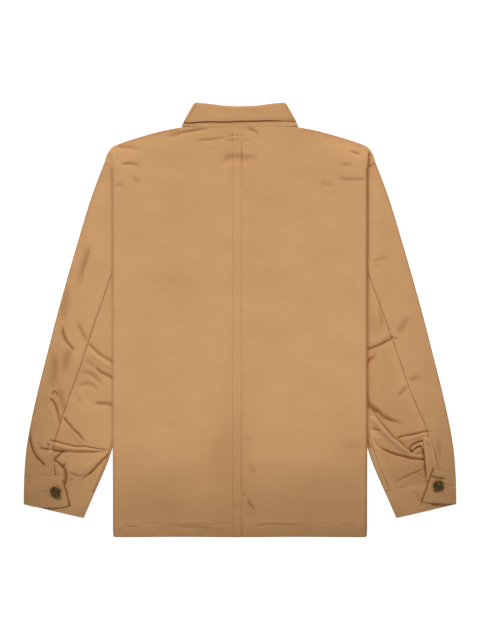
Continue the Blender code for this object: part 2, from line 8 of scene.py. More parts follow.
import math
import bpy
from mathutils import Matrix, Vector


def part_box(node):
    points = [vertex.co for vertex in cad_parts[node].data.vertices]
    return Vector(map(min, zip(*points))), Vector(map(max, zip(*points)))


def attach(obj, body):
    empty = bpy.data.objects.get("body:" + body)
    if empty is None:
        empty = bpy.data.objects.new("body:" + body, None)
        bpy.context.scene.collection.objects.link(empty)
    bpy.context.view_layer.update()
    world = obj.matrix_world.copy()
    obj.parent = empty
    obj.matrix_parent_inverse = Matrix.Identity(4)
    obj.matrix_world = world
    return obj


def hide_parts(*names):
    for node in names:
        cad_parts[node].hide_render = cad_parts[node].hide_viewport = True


bl_info = {
    "name": "Shirt Jacket",
    "version": (1, 0, 0),
    "blender": (4, 5, 0),
    "location": "View3D > Sidebar > Shirt Jacket",
    "description": "Lays a cotton shirt jacket flat around its packed frame",
    "category": "Add Mesh",
}

from collections import namedtuple

import bmesh
import bpy
import numpy as np
from bpy.props import FloatProperty, FloatVectorProperty, IntProperty, PointerProperty
from mathutils import Matrix, Vector
from mathutils.bvhtree import BVHTree

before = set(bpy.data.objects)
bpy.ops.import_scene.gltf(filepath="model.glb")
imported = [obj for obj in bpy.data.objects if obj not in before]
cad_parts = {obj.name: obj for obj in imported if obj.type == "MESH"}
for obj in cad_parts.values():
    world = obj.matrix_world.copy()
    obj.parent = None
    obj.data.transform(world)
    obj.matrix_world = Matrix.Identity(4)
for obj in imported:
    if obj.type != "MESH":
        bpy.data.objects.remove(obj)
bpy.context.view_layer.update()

MM = 0.001
SIDES = {-1: "left", 1: "right"}

# Where a value changes smoothly from one place or share to another: see ramp.
Span = namedtuple("Span", "start end")
# A run of grid lines: from this place on, lines lie this far apart.
Stop = namedtuple("Stop", "place spacing")
# A broad rise or hollow: its middle, its half sizes across and along, and its height or depth.
Mound = namedtuple("Mound", "x y across along size")


def table(kind, *rows):
    """Rows of numbers as named tuples of one kind."""
    return [kind(*row) for row in rows]


# The body's outline and its layers, as heights over the surface that the jacket lies on.
NECK_Y = 339.5
HEM_Y = -382.0
CORNER_Y = 306.5
UNDERARM_Y = 40.0
GROUND_LAYER = 0.75
# Faces round a fold from one layer to another.
ROLL_STEPS = 8
# Radius of the folds at the body's sides, and how far the fronts lie inside the back's.
SIDE_ROLL = 1.6
FRONT_INSET = 1.5
# How far the fronts lie up on the button bands and on the collar.
BAND_LIFTS = {-1: 3.5, 1: 5.5}
COLLAR_LIFT = 2.95
# The left back laps over the right one, which sinks under it and rises again beside it.
LAP_RISE = 1.25
UNDER_LAP_SINK = 0.4
UNDER_LAP_RISE = 0.9
UNDER_LAP_FALL = 0.5
UNDER_LAP_ENDS = Span(2.0, 4.2)
UNDER_LAP_EASES = Span(5.0, 16.0)
ROWS_FOLLOW_SHOULDER = Span(60.0, CORNER_Y)
BACK_STRETCH = Span(80.0, 150.0)
FRONT_STRETCH = Span(110.0, 170.0)
BACK_OFF_BANDS = Span(20.0, 95.0)
BACK_ONTO_SLEEVE = Span(105.0, 205.0)
BACK_OFF_LAP = Span(11.6, 22.0)
FRONT_OFF_BUTTONS = Span(19.0, 66.0)
FRONT_ONTO_COLLAR = Span(176.0, 202.0)
FRONT_OFF_COLLAR = Span(103.0, 128.0)
# The shoulder seam: its height, half the way between its two layers, and the bend down to it.
SHOULDER_SEAM_Z = 5.2
HALF_SEAM = 0.9
SHOULDER_BEND = 7.0
SHOULDER_SEAM_START = Span(103.0, 113.0)
SHOULDER_SEAM_END = Span(208.0, 223.0)
# The layers tucked in at the side folds: the run in which they meet at the seam, and how far they
# end short of the shoulder, where they would come out of its bend.
SEAM_RUN_IN = 9.0
ARMHOLE_OPENS = Span(UNDERARM_Y - 5.0, UNDERARM_Y + 25.0)
TUCK_SHORT = 7.5
TUCK_SHORTENS = Span(262.0, CORNER_Y)
# The back's dip to its side fold, and the drop of the shoulder tip beyond it.
SIDE_SINK = 1.3
SIDE_SINKS = Span(209.0, 222.4)
TIP_DROP = 2.9
TIP_BEYOND = Span(-0.6, 1.6)
TIP_STARTS = Span(258.0, 268.0)
TIP_ENDS = Span(280.0, 301.0)

SLEEVE_UNDER_BODY = 6.2
SLEEVE_PAIR = 2.8
SLEEVE_LOFT = 3.6
# The least room inside a sleeve, and how sharply its upper layer comes to rest at that height.
LEAST_SLEEVE_ROOM = 1.1
SLEEVE_EASE = 2.2
SLANTED_SEAM_GAP = 0.2
UNDERARM_SEAM_GAP = 1.3
INNER_SEAM = {-1: 3.4, 1: 9.0}
SEAM_TURNS_WITH_ARMHOLE = Span(0.7, 1.0)
SLEEVE_OFF_BODY = Span(15.0, 48.0)
LOFT_OUTSIDE_BODY = Span(4.0, 30.0)
LOFT_FROM_CUFF = Span(0.0, 0.10)
ARMHOLE_CURVE = Span(0.55, 1.0)
FOLDS_OFF_EDGE = Span(0.8, 7.0)
FOLDS_OFF_BODY = Span(0.5, 7.0)

FALL_TOP = 10.8
FALL_GROUND = 1.0
STAND_TOP = 8.2
STAND_GROUND = 3.6
CUFF_GROUND = 1.0
CUFF_UNDER_END = 4.2
CUFF_OVER_SLEEVE = 5.8
CUFF_OVER_END = 7.5
# Room inside the cuff: its lowest layer of sleeve, and how far the upper layer is above that.
CUFF_INSIDE = Span(2.15, 0.85)

# Seams and edges: how deep the hem is and where it is sewn, where the lap ends and is turned, and
# how far in the stitch rows lie.
HEM_DEPTH = 21.0
HEM_LINE = HEM_Y + HEM_DEPTH + 0.6
LAP_EDGE = 1.8
LAP_TURN = 14.3
LAP_ROWS = (4.2, 9.8)
FELL_ROWS = (1.8, 7.4)
FELL_RISE = 0.55
FELL_ENDS = Span(8.2, 10.5)
FRONT_EDGE_TURN = 28.0

# Painted shade along seams and edges, where creases and steps would be shaded: half width, and how
# dark it is, 1 being darkest.
HEM_SHADE = (1.2, 0.16)
HEM_EDGE_SHADE = (2.2, 0.24)
STITCH_SHADE = (0.9, 0.08)
LAP_TURN_SHADE = (1.4, 0.16)
BUTTON_SHADE = (2.2, 0.5)
CUFF_EDGE_SHADE = (1.0, 0.10)
BELOW_FALL_SHADE = (2.3, 1.0)
STAND_ROW_SHADE = (0.8, 0.25)
SIDE_FOLD_SHADES = {-1: (2.2, 0.30), 1: (2.2, 0.80)}
BESIDE_BODY_SHADES = {-1: (3.4, 0.30), 1: (3.4, 0.66)}
BACK_SEAM_SHADES = {-1: (1.3, 0.66), 1: (1.3, 0.50)}
# Shade painted on cloth that turns away from the light, or lies in the shade of the layer beside it.
ROLL_SHADE = 0.3
FALL_SHADE = 0.09
SHOULDER_SHADE = 0.8
CUFF_END_SHADE = 0.35
UNDER_SLEEVE_SHADE = {-1: 0.0, 1: 0.15}

# Seeds of the cloth's noise.
WANDER_SEEDS = (5, 6)
BACK_SEEDS = {-1: 20, 1: 40}
BROKEN_SEED = 61
SEAM_RIPPLE_SEED = 70
NECK_RIPPLE_SEED = 75
HEM_RIPPLE_SEED = 80
SLEEVE_RIPPLE_SEED = 90
SLEEVE_SEEDS = {-1: 100, 1: 140}
CUFF_SEED = 200
FALL_SEEDS = (301, 303, 305)

# Rows of the body from the hem to the shoulder. edge: where the back folds under, tuck: how far
# it then runs back in to the side seam or the armhole; centre, middle and side: heights of the
# back over the buttoned fronts, halfway out, and over the sleeve.
BodyRow = namedtuple("BodyRow", "y edge tuck centre middle side")
BODY = table(
    BodyRow,
    (HEM_Y, 221.8, 40.0, 8.2, 4.4, 9.2),
    (-378.5, 223.6, 44.0, 8.2, 4.4, 9.2),
    (-361.0, 224.0, 46.0, 8.2, 4.5, 9.3),
    (-300.0, 224.0, 46.0, 8.2, 4.5, 9.8),
    (-235.0, 224.0, 47.0, 8.2, 4.5, 13.8),
    (-170.0, 224.0, 49.0, 8.2, 4.5, 14.5),
    (-70.0, 224.0, 55.0, 8.2, 4.5, 14.5),
    (40.0, 224.0, 62.0, 8.2, 4.8, 14.5),
    (100.0, 224.0, 54.0, 8.2, 5.4, 14.5),
    (160.0, 224.0, 43.0, 8.2, 6.2, 14.5),
    (215.0, 224.2, 31.0, 8.2, 7.0, 14.5),
    (250.0, 224.4, 20.0, 8.2, 7.4, 14.4),
    (267.5, 224.6, 12.0, 8.2, 7.6, 14.2),
    (279.0, 238.5, 10.0, 8.2, 7.8, 13.7),
    (291.0, 234.5, 9.0, 8.2, 8.0, 12.4),
    (302.0, 227.6, 8.0, 8.2, 8.2, 10.6),
    (CORNER_Y, 222.2, 8.0, 8.2, 8.2, 9.8),
)

# The shoulder line and the front neckline, from the middle outward.
Outline = namedtuple("Outline", "x y")
SHOULDER = table(
    Outline,
    (0.0, NECK_Y), (103.0, NECK_Y), (110.0, 338.2), (133.0, 333.6), (154.0, 328.4), (173.0, 322.8),
    (191.0, 317.4), (208.0, 311.6), (222.2, CORNER_Y),
)
# Where the back folds over the shoulder tip.
TIP_FOLD = table(Outline, (221.6, 246.0), (222.6, 263.0), (226.5, 297.0))
FRONT_NECK = table(
    Outline,
    (0.0, 248.0), (15.0, 248.5), (34.0, 254.0), (58.0, 269.0), (80.0, 291.5), (94.0, 317.0),
    (100.5, 337.0),
)

# Lines of the body's grids, outward from the middle. The first place is past the middle, where a
# lap starts; the last is where the side roll starts.
SIDE_START = 222.4
BACK_LINES = {
    -1: table(
        Stop,
        (-LAP_EDGE, 0.9), (14.0, 1.6), (26.0, 2.8), (196.0, 2.2), (SIDE_START, 0.0),
    ),
    1: table(
        Stop,
        (-10.5, 2.5), (-2.0, 1.2), (8.0, 2.0), (26.0, 2.8), (196.0, 2.2), (SIDE_START, 0.0),
    ),
}
BACK_ROWS = table(Stop, (HEM_Y, 1.3), (-356.0, 2.9), (256.0, 1.7), (CORNER_Y, 0.0))
FRONT_LINES = table(Stop, (-15.0, 2.0), (19.0, 5.4), (190.0, 4.0), (SIDE_START, 0.0))
FRONT_ROWS = table(Stop, (HEM_Y, 2.6), (-356.0, 6.6), (250.0, 3.6), (CORNER_Y, 0.0))

# Sections of the right sleeve from the cuff seam to the armhole: outer edge, inner edge, and
# where the back seam crosses, as a share of the width from the outer edge, on each sleeve.
SleeveRow = namedtuple("SleeveRow", "outer_x outer_y inner_x inner_y seam_left seam_right")
SLEEVE = table(
    SleeveRow,
    (380.8, -276.5, 254.8, -301.5, 0.350, 0.262),
    (377.0, -228.0, 233.5, -252.0, 0.310, 0.256),
    (367.8, -175.0, 218.5, -205.0, 0.331, 0.280),
    (354.9, -118.0, 203.5, -155.0, 0.361, 0.343),
    (339.0, -55.0, 193.0, -105.0, 0.406, 0.384),
    (323.7, 5.0, 186.0, -60.0, 0.441, 0.427),
    (305.3, 72.0, 180.5, -20.0, 0.474, 0.462),
    (284.9, 142.0, 177.0, 12.0, 0.488, 0.488),
    (263.6, 212.0, 174.5, 34.0, 0.514, 0.514),
    (238.2, 279.0, 174.0, 45.0, 0.530, 0.530),
)
ARMHOLE = table(
    Outline,
    (238.2, 279.0), (223.0, 273.0), (212.0, 254.0), (201.0, 208.0), (190.0, 143.0), (180.0, 88.0),
    (174.0, 45.0),
)
SLEEVE_SHARES = table(Stop, (0.0, 0.0026), (0.36, 0.0052), (1.0, 0.0))
SLEEVE_GRAIN = math.radians(14.0)

# Half of the collar from the middle of the back to the front end: the roll line, the fall's free
# edge and the stand's seam. The crease is where the collar turns from the back to the front.
CollarRow = namedtuple("CollarRow", "roll_x roll_y edge_x edge_y seam_x seam_y")
COLLAR_BACK = table(
    CollarRow,
    (0.0, 376.6, 0.0, 350.2, 0.0, 340.1),
    (28.0, 377.8, 30.0, 350.4, 34.0, 340.1),
    (54.0, 381.2, 60.0, 350.6, 68.0, 340.1),
)
COLLAR_CREASE = CollarRow(80.4, 383.2, 100.2, 348.5, 102.5, 342.6)
COLLAR_FRONT = table(
    CollarRow,
    (69.0, 365.0, 97.5, 327.0, 92.6, 318.4),
    (56.0, 343.0, 95.0, 300.0, 79.0, 293.0),
    (39.0, 318.5, 86.5, 267.0, 57.0, 270.6),
    (24.0, 299.0, 73.0, 237.0, 33.0, 255.4),
    (10.0, 281.5, 58.0, 210.0, 11.0, 249.8),
)
# The fall's lines: inset from the roll line with how far each is bent in, then shares of its depth.
FALL_STEPS = [(1.0, 0.6), (1.4, 0.2), (3.6, 0.0)]
FALL_SHARES = [0.22, 0.32, 0.42, 0.52, 0.62, 0.72, 0.80, 0.87, 0.93, 0.97, 1.0]
FALL_CORNER = 5.0
# The stand: how far it lies inside the roll line, its steps down to the seam, and its stitch row.
STAND_INSET = 3.45
STAND_ROW = 5.4
STAND_CREASE_INSET = 4.3
STAND_CREASE_DROP = 1.0
STAND_SEAM_INSET = 1.2
STAND_FLARE = 1.7
STAND_SHARES = [0.0, 0.08, 0.16, 0.26, 0.36, 0.46, 0.56, 0.66, 0.76, 0.86, 0.95, 1.0]
STAND_STEPS = [(0.8, 0.5), (1.6, 1.1), (3.0, 1.5)]

# Cuffs, as sections from upper to lower edge. Each runs from its buttoned end over the sleeve to the
# outer fold, back below the sleeve, and round the inner fold to its under end.
CuffRow = namedtuple("CuffRow", "up_x up_y low_x low_y height")
CUFF_OUTER = CuffRow(380.8, -277.2, 382.0, -325.0, 0.0)
CUFF_INNER = CuffRow(255.2, -302.2, 275.5, -349.0, 0.0)
CUFF_BELOW = table(
    CuffRow,
    (350.0, -283.0, 356.0, -331.0, CUFF_GROUND),
    (315.0, -290.0, 325.0, -338.0, CUFF_GROUND),
    (280.0, -297.0, 298.0, -344.2, CUFF_GROUND),
)
CUFF_OVER = {
    -1: table(
        CuffRow,
        (314.0, -273.0, 299.6, -326.0, CUFF_OVER_END),
        (322.0, -273.8, 312.0, -329.6, CUFF_OVER_END),
        (334.0, -275.2, 328.0, -330.8, CUFF_OVER_END),
        (346.0, -277.0, 345.0, -331.4, CUFF_OVER_END - 1.0),
        (366.0, -277.2, 366.0, -329.0, CUFF_OVER_SLEEVE),
    ),
    1: table(
        CuffRow,
        (340.2, -264.0, 319.0, -320.0, CUFF_OVER_END),
        (345.0, -263.8, 331.0, -322.0, CUFF_OVER_END),
        (352.0, -264.8, 343.6, -322.8, CUFF_OVER_END),
        (362.0, -268.0, 360.0, -323.4, CUFF_OVER_END - 0.6),
        (372.0, -271.0, 372.0, -323.8, CUFF_OVER_SLEEVE),
    ),
}
CUFF_UNDER_LAST = {
    -1: (326.0, -288.0, 338.0, -335.0, CUFF_UNDER_END),
    1: (330.0, -287.2, 340.0, -334.6, CUFF_UNDER_END),
}
CUFF_UNDER = {
    side: table(
        CuffRow,
        (282.0, -296.9, 298.0, -344.4, CUFF_UNDER_END),
        (306.0, -292.0, 318.0, -339.6, CUFF_UNDER_END),
        last,
    )
    for side, last in CUFF_UNDER_LAST.items()
}
# The way in from a cuff's outer fold, the rounding of its ends, and how far it droops to its edge,
# and further still at the outside.
CUFF_INWARD = (-1.0, -0.15)
CUFF_END_ROUND = {-1: 4.0, 1: 4.5}
CUFF_DROOP = 1.35
OUTER_CUFF_DROOP = 0.3

# The slits beside the cuff buttons.
BUTTONHOLES = {
    -1: (Outline(333.5, -305.2), Outline(352.0, -305.4)),
    1: (Outline(359.0, -291.4), Outline(379.5, -294.6)),
}

# Buttons. lean, direction of the lean in plan, shank length: each cuff button tips on its shank.
BUTTON_RADIUS = 10.6
CUFF_BUTTON_HEIGHT = 4.4
FRONT_BUTTON_HEIGHT = 2.9
CUFF_BUTTON_LEANS = {
    -1: (math.radians(28.0), math.radians(232.0), 3.6),
    1: (math.radians(25.0), math.radians(292.0), 3.2),
}
BUTTON_PLACES = {-1: Outline(324.5, -302.2), 1: Outline(349.2, -291.2)}
# A button's outline from the middle of its back, round the rim and over the groove to the dome:
# radius in millimetres, and height as a share of the button's.
BUTTON_PROFILE = [
    (0.0, 0.0), (3.4, 0.0), (7.4, 0.06), (8.9, 0.14), (9.55, 0.28), (9.75, 0.42), (9.55, 0.56),
    (9.0, 0.64), (8.35, 0.63), (7.95, 0.56), (7.6, 0.60), (6.5, 0.76), (4.6, 0.90), (2.4, 0.98),
    (0.0, 1.0),
]
# How far a leaning button's lower rim is let into the cloth.
RIM_IN_CLOTH = 0.3

# The rounding of a piece's cut edges, as a share of its thickness.
EDGE_ROUND = 0.3
# The folded strip's thickness at the sleeve openings, as a share of the cloth's.
BINDING_THICKNESS = 1.2
# A stitch isn't sewn where the cloth rises more steeply than this beneath it.
STEEPEST_STITCH = 1.2
# Heights in metres from which stitches are dropped on the cloth, the distance between the stitches
# of a bar in threads, and how far a thread's middle stands off the cloth, in threads.
NEEDLE_ABOVE = 0.06
NEEDLE_BELOW = -0.02
BAR_PITCH = 1.15
THREAD_RISE = 0.14

# Where rows of stitches end short of the hem and the side fold, and where the fronts' rows run.
HEM_INSET = 3.0
HEM_END = 221.0
FRONT_STITCH_LINES = (-13.5, 11.0)
FRONT_STITCHES_TOP = 244.0
BINDING_ROW_INSET = 1.3
# Length of the bars beside a buttonhole, and of the bar tack at the top of the centre seam.
BUTTONHOLE_BAR = 1.3
NECK_BARS = [([(-13.0, 322.5), (-1.0, 323.0)], 1.5)]
# The crossed and squared rows of the tack at the top of the centre seam.
NECK_TACK = [
    [(-22.0, 320.5), (-7.0, 311.5)],
    [(-21.0, 312.0), (-7.0, 320.5)],
    [(-14.0, 337.0), (-13.5, 330.0)],
    [(-13.5, 330.0), (-6.5, 330.0)],
    [(-6.5, 330.0), (-6.5, 337.0)],
]

# Bindings on the sleeve openings: the middle of the strip at its upper and lower end, its width,
# and how much wider its lower end is.
Strip = namedtuple("Strip", "up_x up_y low_x low_y width flare")
# How far a strip lies above the sleeve, and how far its edges bend down to it.
BINDING_RISE = 2.3
BINDING_EDGE_DROP = 0.4
VENTS = {
    -1: Strip(334.0, -222.0, 331.0, -278.0, 7.5, 0.0),
    1: Strip(329.0, -206.0, 336.6, -283.0, 13.0, 9.5),
}

# The stage, in metres: the floor just below the jacket, the softbox, and the height of the
# camera's view at the level of the cloth.
FLOOR_DROP = 0.0002
FLOOR_REACH = 20.0
KEY_SIZE = (0.78, 0.65)
KEY_PLACE = (-0.16, 1.95, 1.75)
KEY_AIM = (-0.01, 0.1, 0.0)
VIEW_LEVEL = 0.010
VIEW_HEIGHT = 1.1264

# Folds of the cloth, each along a curve through three places. height is how far the cloth rises,
# or sinks if negative; left and right are the half widths on each side, seen from start to end;
# fade_in and fade_out are the shares of its length over which it grows and dies; shade is how
# dark the shade painted in a trough's bottom is, 1 for its depth. A very low fold with a high
# shade is a line of painted shade where one layer lies on another.
Fold = namedtuple(
    "Fold", "x1 y1 x2 y2 x3 y3 height left right fade_in fade_out shade", defaults=[1.0]
)
BACK_FOLDS = {
    -1: table(
        Fold,
        (104, 328, 80, 334, 44, 336, -2.4, 4.0, 2.8, 0.15, 0.5),
        (132, 319, 114, 325, 96, 330, -1.8, 5.0, 5.0, 0.5, 0.3),
        (82, 312, 56, 318, 12, 322, -1.7, 3.4, 2.8, 0.4, 0.4),
        (222, 304, 197, 303, 173, 296, -2.0, 3.4, 4.4, 0.3, 0.4),
        (209, 272, 193, 273, 172, 266, -1.9, 3.2, 4.4, 0.3, 0.4),
        (194, 254, 183, 246, 171, 239, -1.5, 5.0, 5.0, 0.4, 0.5),
        (222, 237, 212, 237, 203, 229, -1.6, 3.2, 4.0, 0.1, 0.4),
        (35, 277, 16, 284.5, -4, 285, -2.1, 9.0, 8.5, 0.4, 0.0, 0.7),
        (36, 270, 26, 280, 14, 282, -1.0, 5.0, 5.0, 0.5, 0.5),
        (24, 318.5, 18, 316, 9, 314, -0.6, 1.7, 1.7, 0.2, 0.2, 3.4),
        (16, 321, 12.5, 318, 9, 313, -0.6, 1.6, 1.6, 0.2, 0.2, 3.0),
        (24, 321.5, 12, 326, 0, 322.5, -0.6, 2.8, 2.8, 0.3, 0.1, 3.0),
        (3.4, 323, 2.6, 319, 2.8, 313, -0.5, 1.5, 1.5, 0.2, 0.2, 4.0),
        (150, -180, 120, -186, 96, -184, -0.6, 9.0, 9.0, 0.5, 0.5),
        (160, 60, 120, 70, 84, 64, -0.5, 12.0, 12.0, 0.5, 0.5),
        (146, -361, 96, -362.5, 28, -361, -0.8, 2.0, 1.6, 0.3, 0.3, 1.5),
        (128, -367, 84, -366, 44, -368, -1.2, 2.2, 2.2, 0.4, 0.4),
        (132, -357.5, 90, -357, 40, -357.5, 0.6, 2.2, 1.8, 0.4, 0.4),
        (204, -361, 190, -364, 172, -361, -1.0, 2.6, 2.6, 0.4, 0.4),
        (16, -326, 10, -327, 3, -330, -0.9, 2.4, 2.4, 0.3, 0.2),
    ),
    1: table(
        Fold,
        (10, 335, 21, 334, 34, 328, -2.3, 3.0, 2.6, 0.4, 0.25),
        (-18, 285, 10, 284, 38, 289, -2.1, 8.0, 9.0, 0.0, 0.45, 0.7),
        (2.6, 302, 2.6, 290, 2.8, 273, -0.3, 1.6, 1.6, 0.3, 0.3, 6.0),
        (2.6, 324.5, 6, 324, 10, 320.5, -0.4, 1.5, 1.5, 0.2, 0.4, 4.0),
        (192, 296, 202, 294, 213, 290, -1.9, 3.0, 4.0, 0.3, 0.3),
        (168, 248, 190, 247, 220, 248, -1.8, 3.2, 4.4, 0.4, 0.1),
        (134, 241, 152, 238, 170, 231, -1.3, 4.0, 4.0, 0.4, 0.4),
        (168, 267, 186, 271, 200, 270, -1.2, 4.5, 4.5, 0.5, 0.4),
        (227.5, 300, 227, 283, 225, 262, -1.0, 2.6, 2.6, 0.3, 0.0, 6.8),
        (227, 258, 232, 268, 239, 276, -0.6, 2.0, 2.0, 0.1, 0.3, 2.4),
        (4, 226, 10, 226, 17, 224, -0.8, 4.0, 4.0, 0.4, 0.4),
        (2, -298, 13, -319, 28, -336, -0.9, 3.4, 3.4, 0.4, 0.2, 3.0),
        (6, -206, 14, -208, 22, -214, -0.9, 5.0, 5.0, 0.4, 0.4),
        (16, -252, 22, -264, 30, -274, -1.2, 5.0, 5.0, 0.4, 0.4),
        (88, 176, 130, 168, 182, 172, 0.5, 12.0, 9.0, 0.5, 0.5),
        (60, 40, 110, 30, 160, 36, -0.5, 12.0, 12.0, 0.5, 0.5),
        (14, -361, 78, -361.5, 154, -363, -1.0, 1.6, 2.2, 0.2, 0.3, 1.4),
        (30, -357, 76, -356.5, 124, -358, 0.6, 2.0, 1.8, 0.2, 0.3),
        (172, -362, 190, -361, 206, -364, -1.0, 2.4, 2.4, 0.4, 0.4),
        (4, -334, 14, -340, 40, -344, -0.5, 3.0, 3.0, 0.3, 0.5),
    ),
}
# Broad valleys of the back beside the centre seam, at the side folds and over the hem; each also has
# shade painted by its depth.
BACK_VALLEYS = {
    -1: table(
        Mound,
        (4.0, -205.0, 34.0, 60.0, 1.1),
        (42.0, -240.0, 26.0, 40.0, 1.0),
        (16.0, -310.0, 34.0, 46.0, 0.9),
        (170.0, -325.0, 70.0, 34.0, 0.9),
        (90.0, -345.0, 60.0, 26.0, 0.6),
        (206.0, -180.0, 26.0, 44.0, 0.6),
        (160.0, -120.0, 30.0, 30.0, 0.25),
    ),
    1: table(
        Mound,
        (4.0, -205.0, 20.0, 62.0, 0.9),
        (24.0, -112.0, 32.0, 26.0, 0.6),
        (12.0, -310.0, 20.0, 46.0, 0.7),
        (195.0, -226.0, 18.0, 13.0, 1.1),
        (120.0, -318.0, 84.0, 34.0, 0.8),
        (178.0, -185.0, 40.0, 26.0, 0.35),
    ),
}
# The depth of valley whose painted shade is as dark as that painted in a sharp crease.
VALLEY_SHADE = 6.5
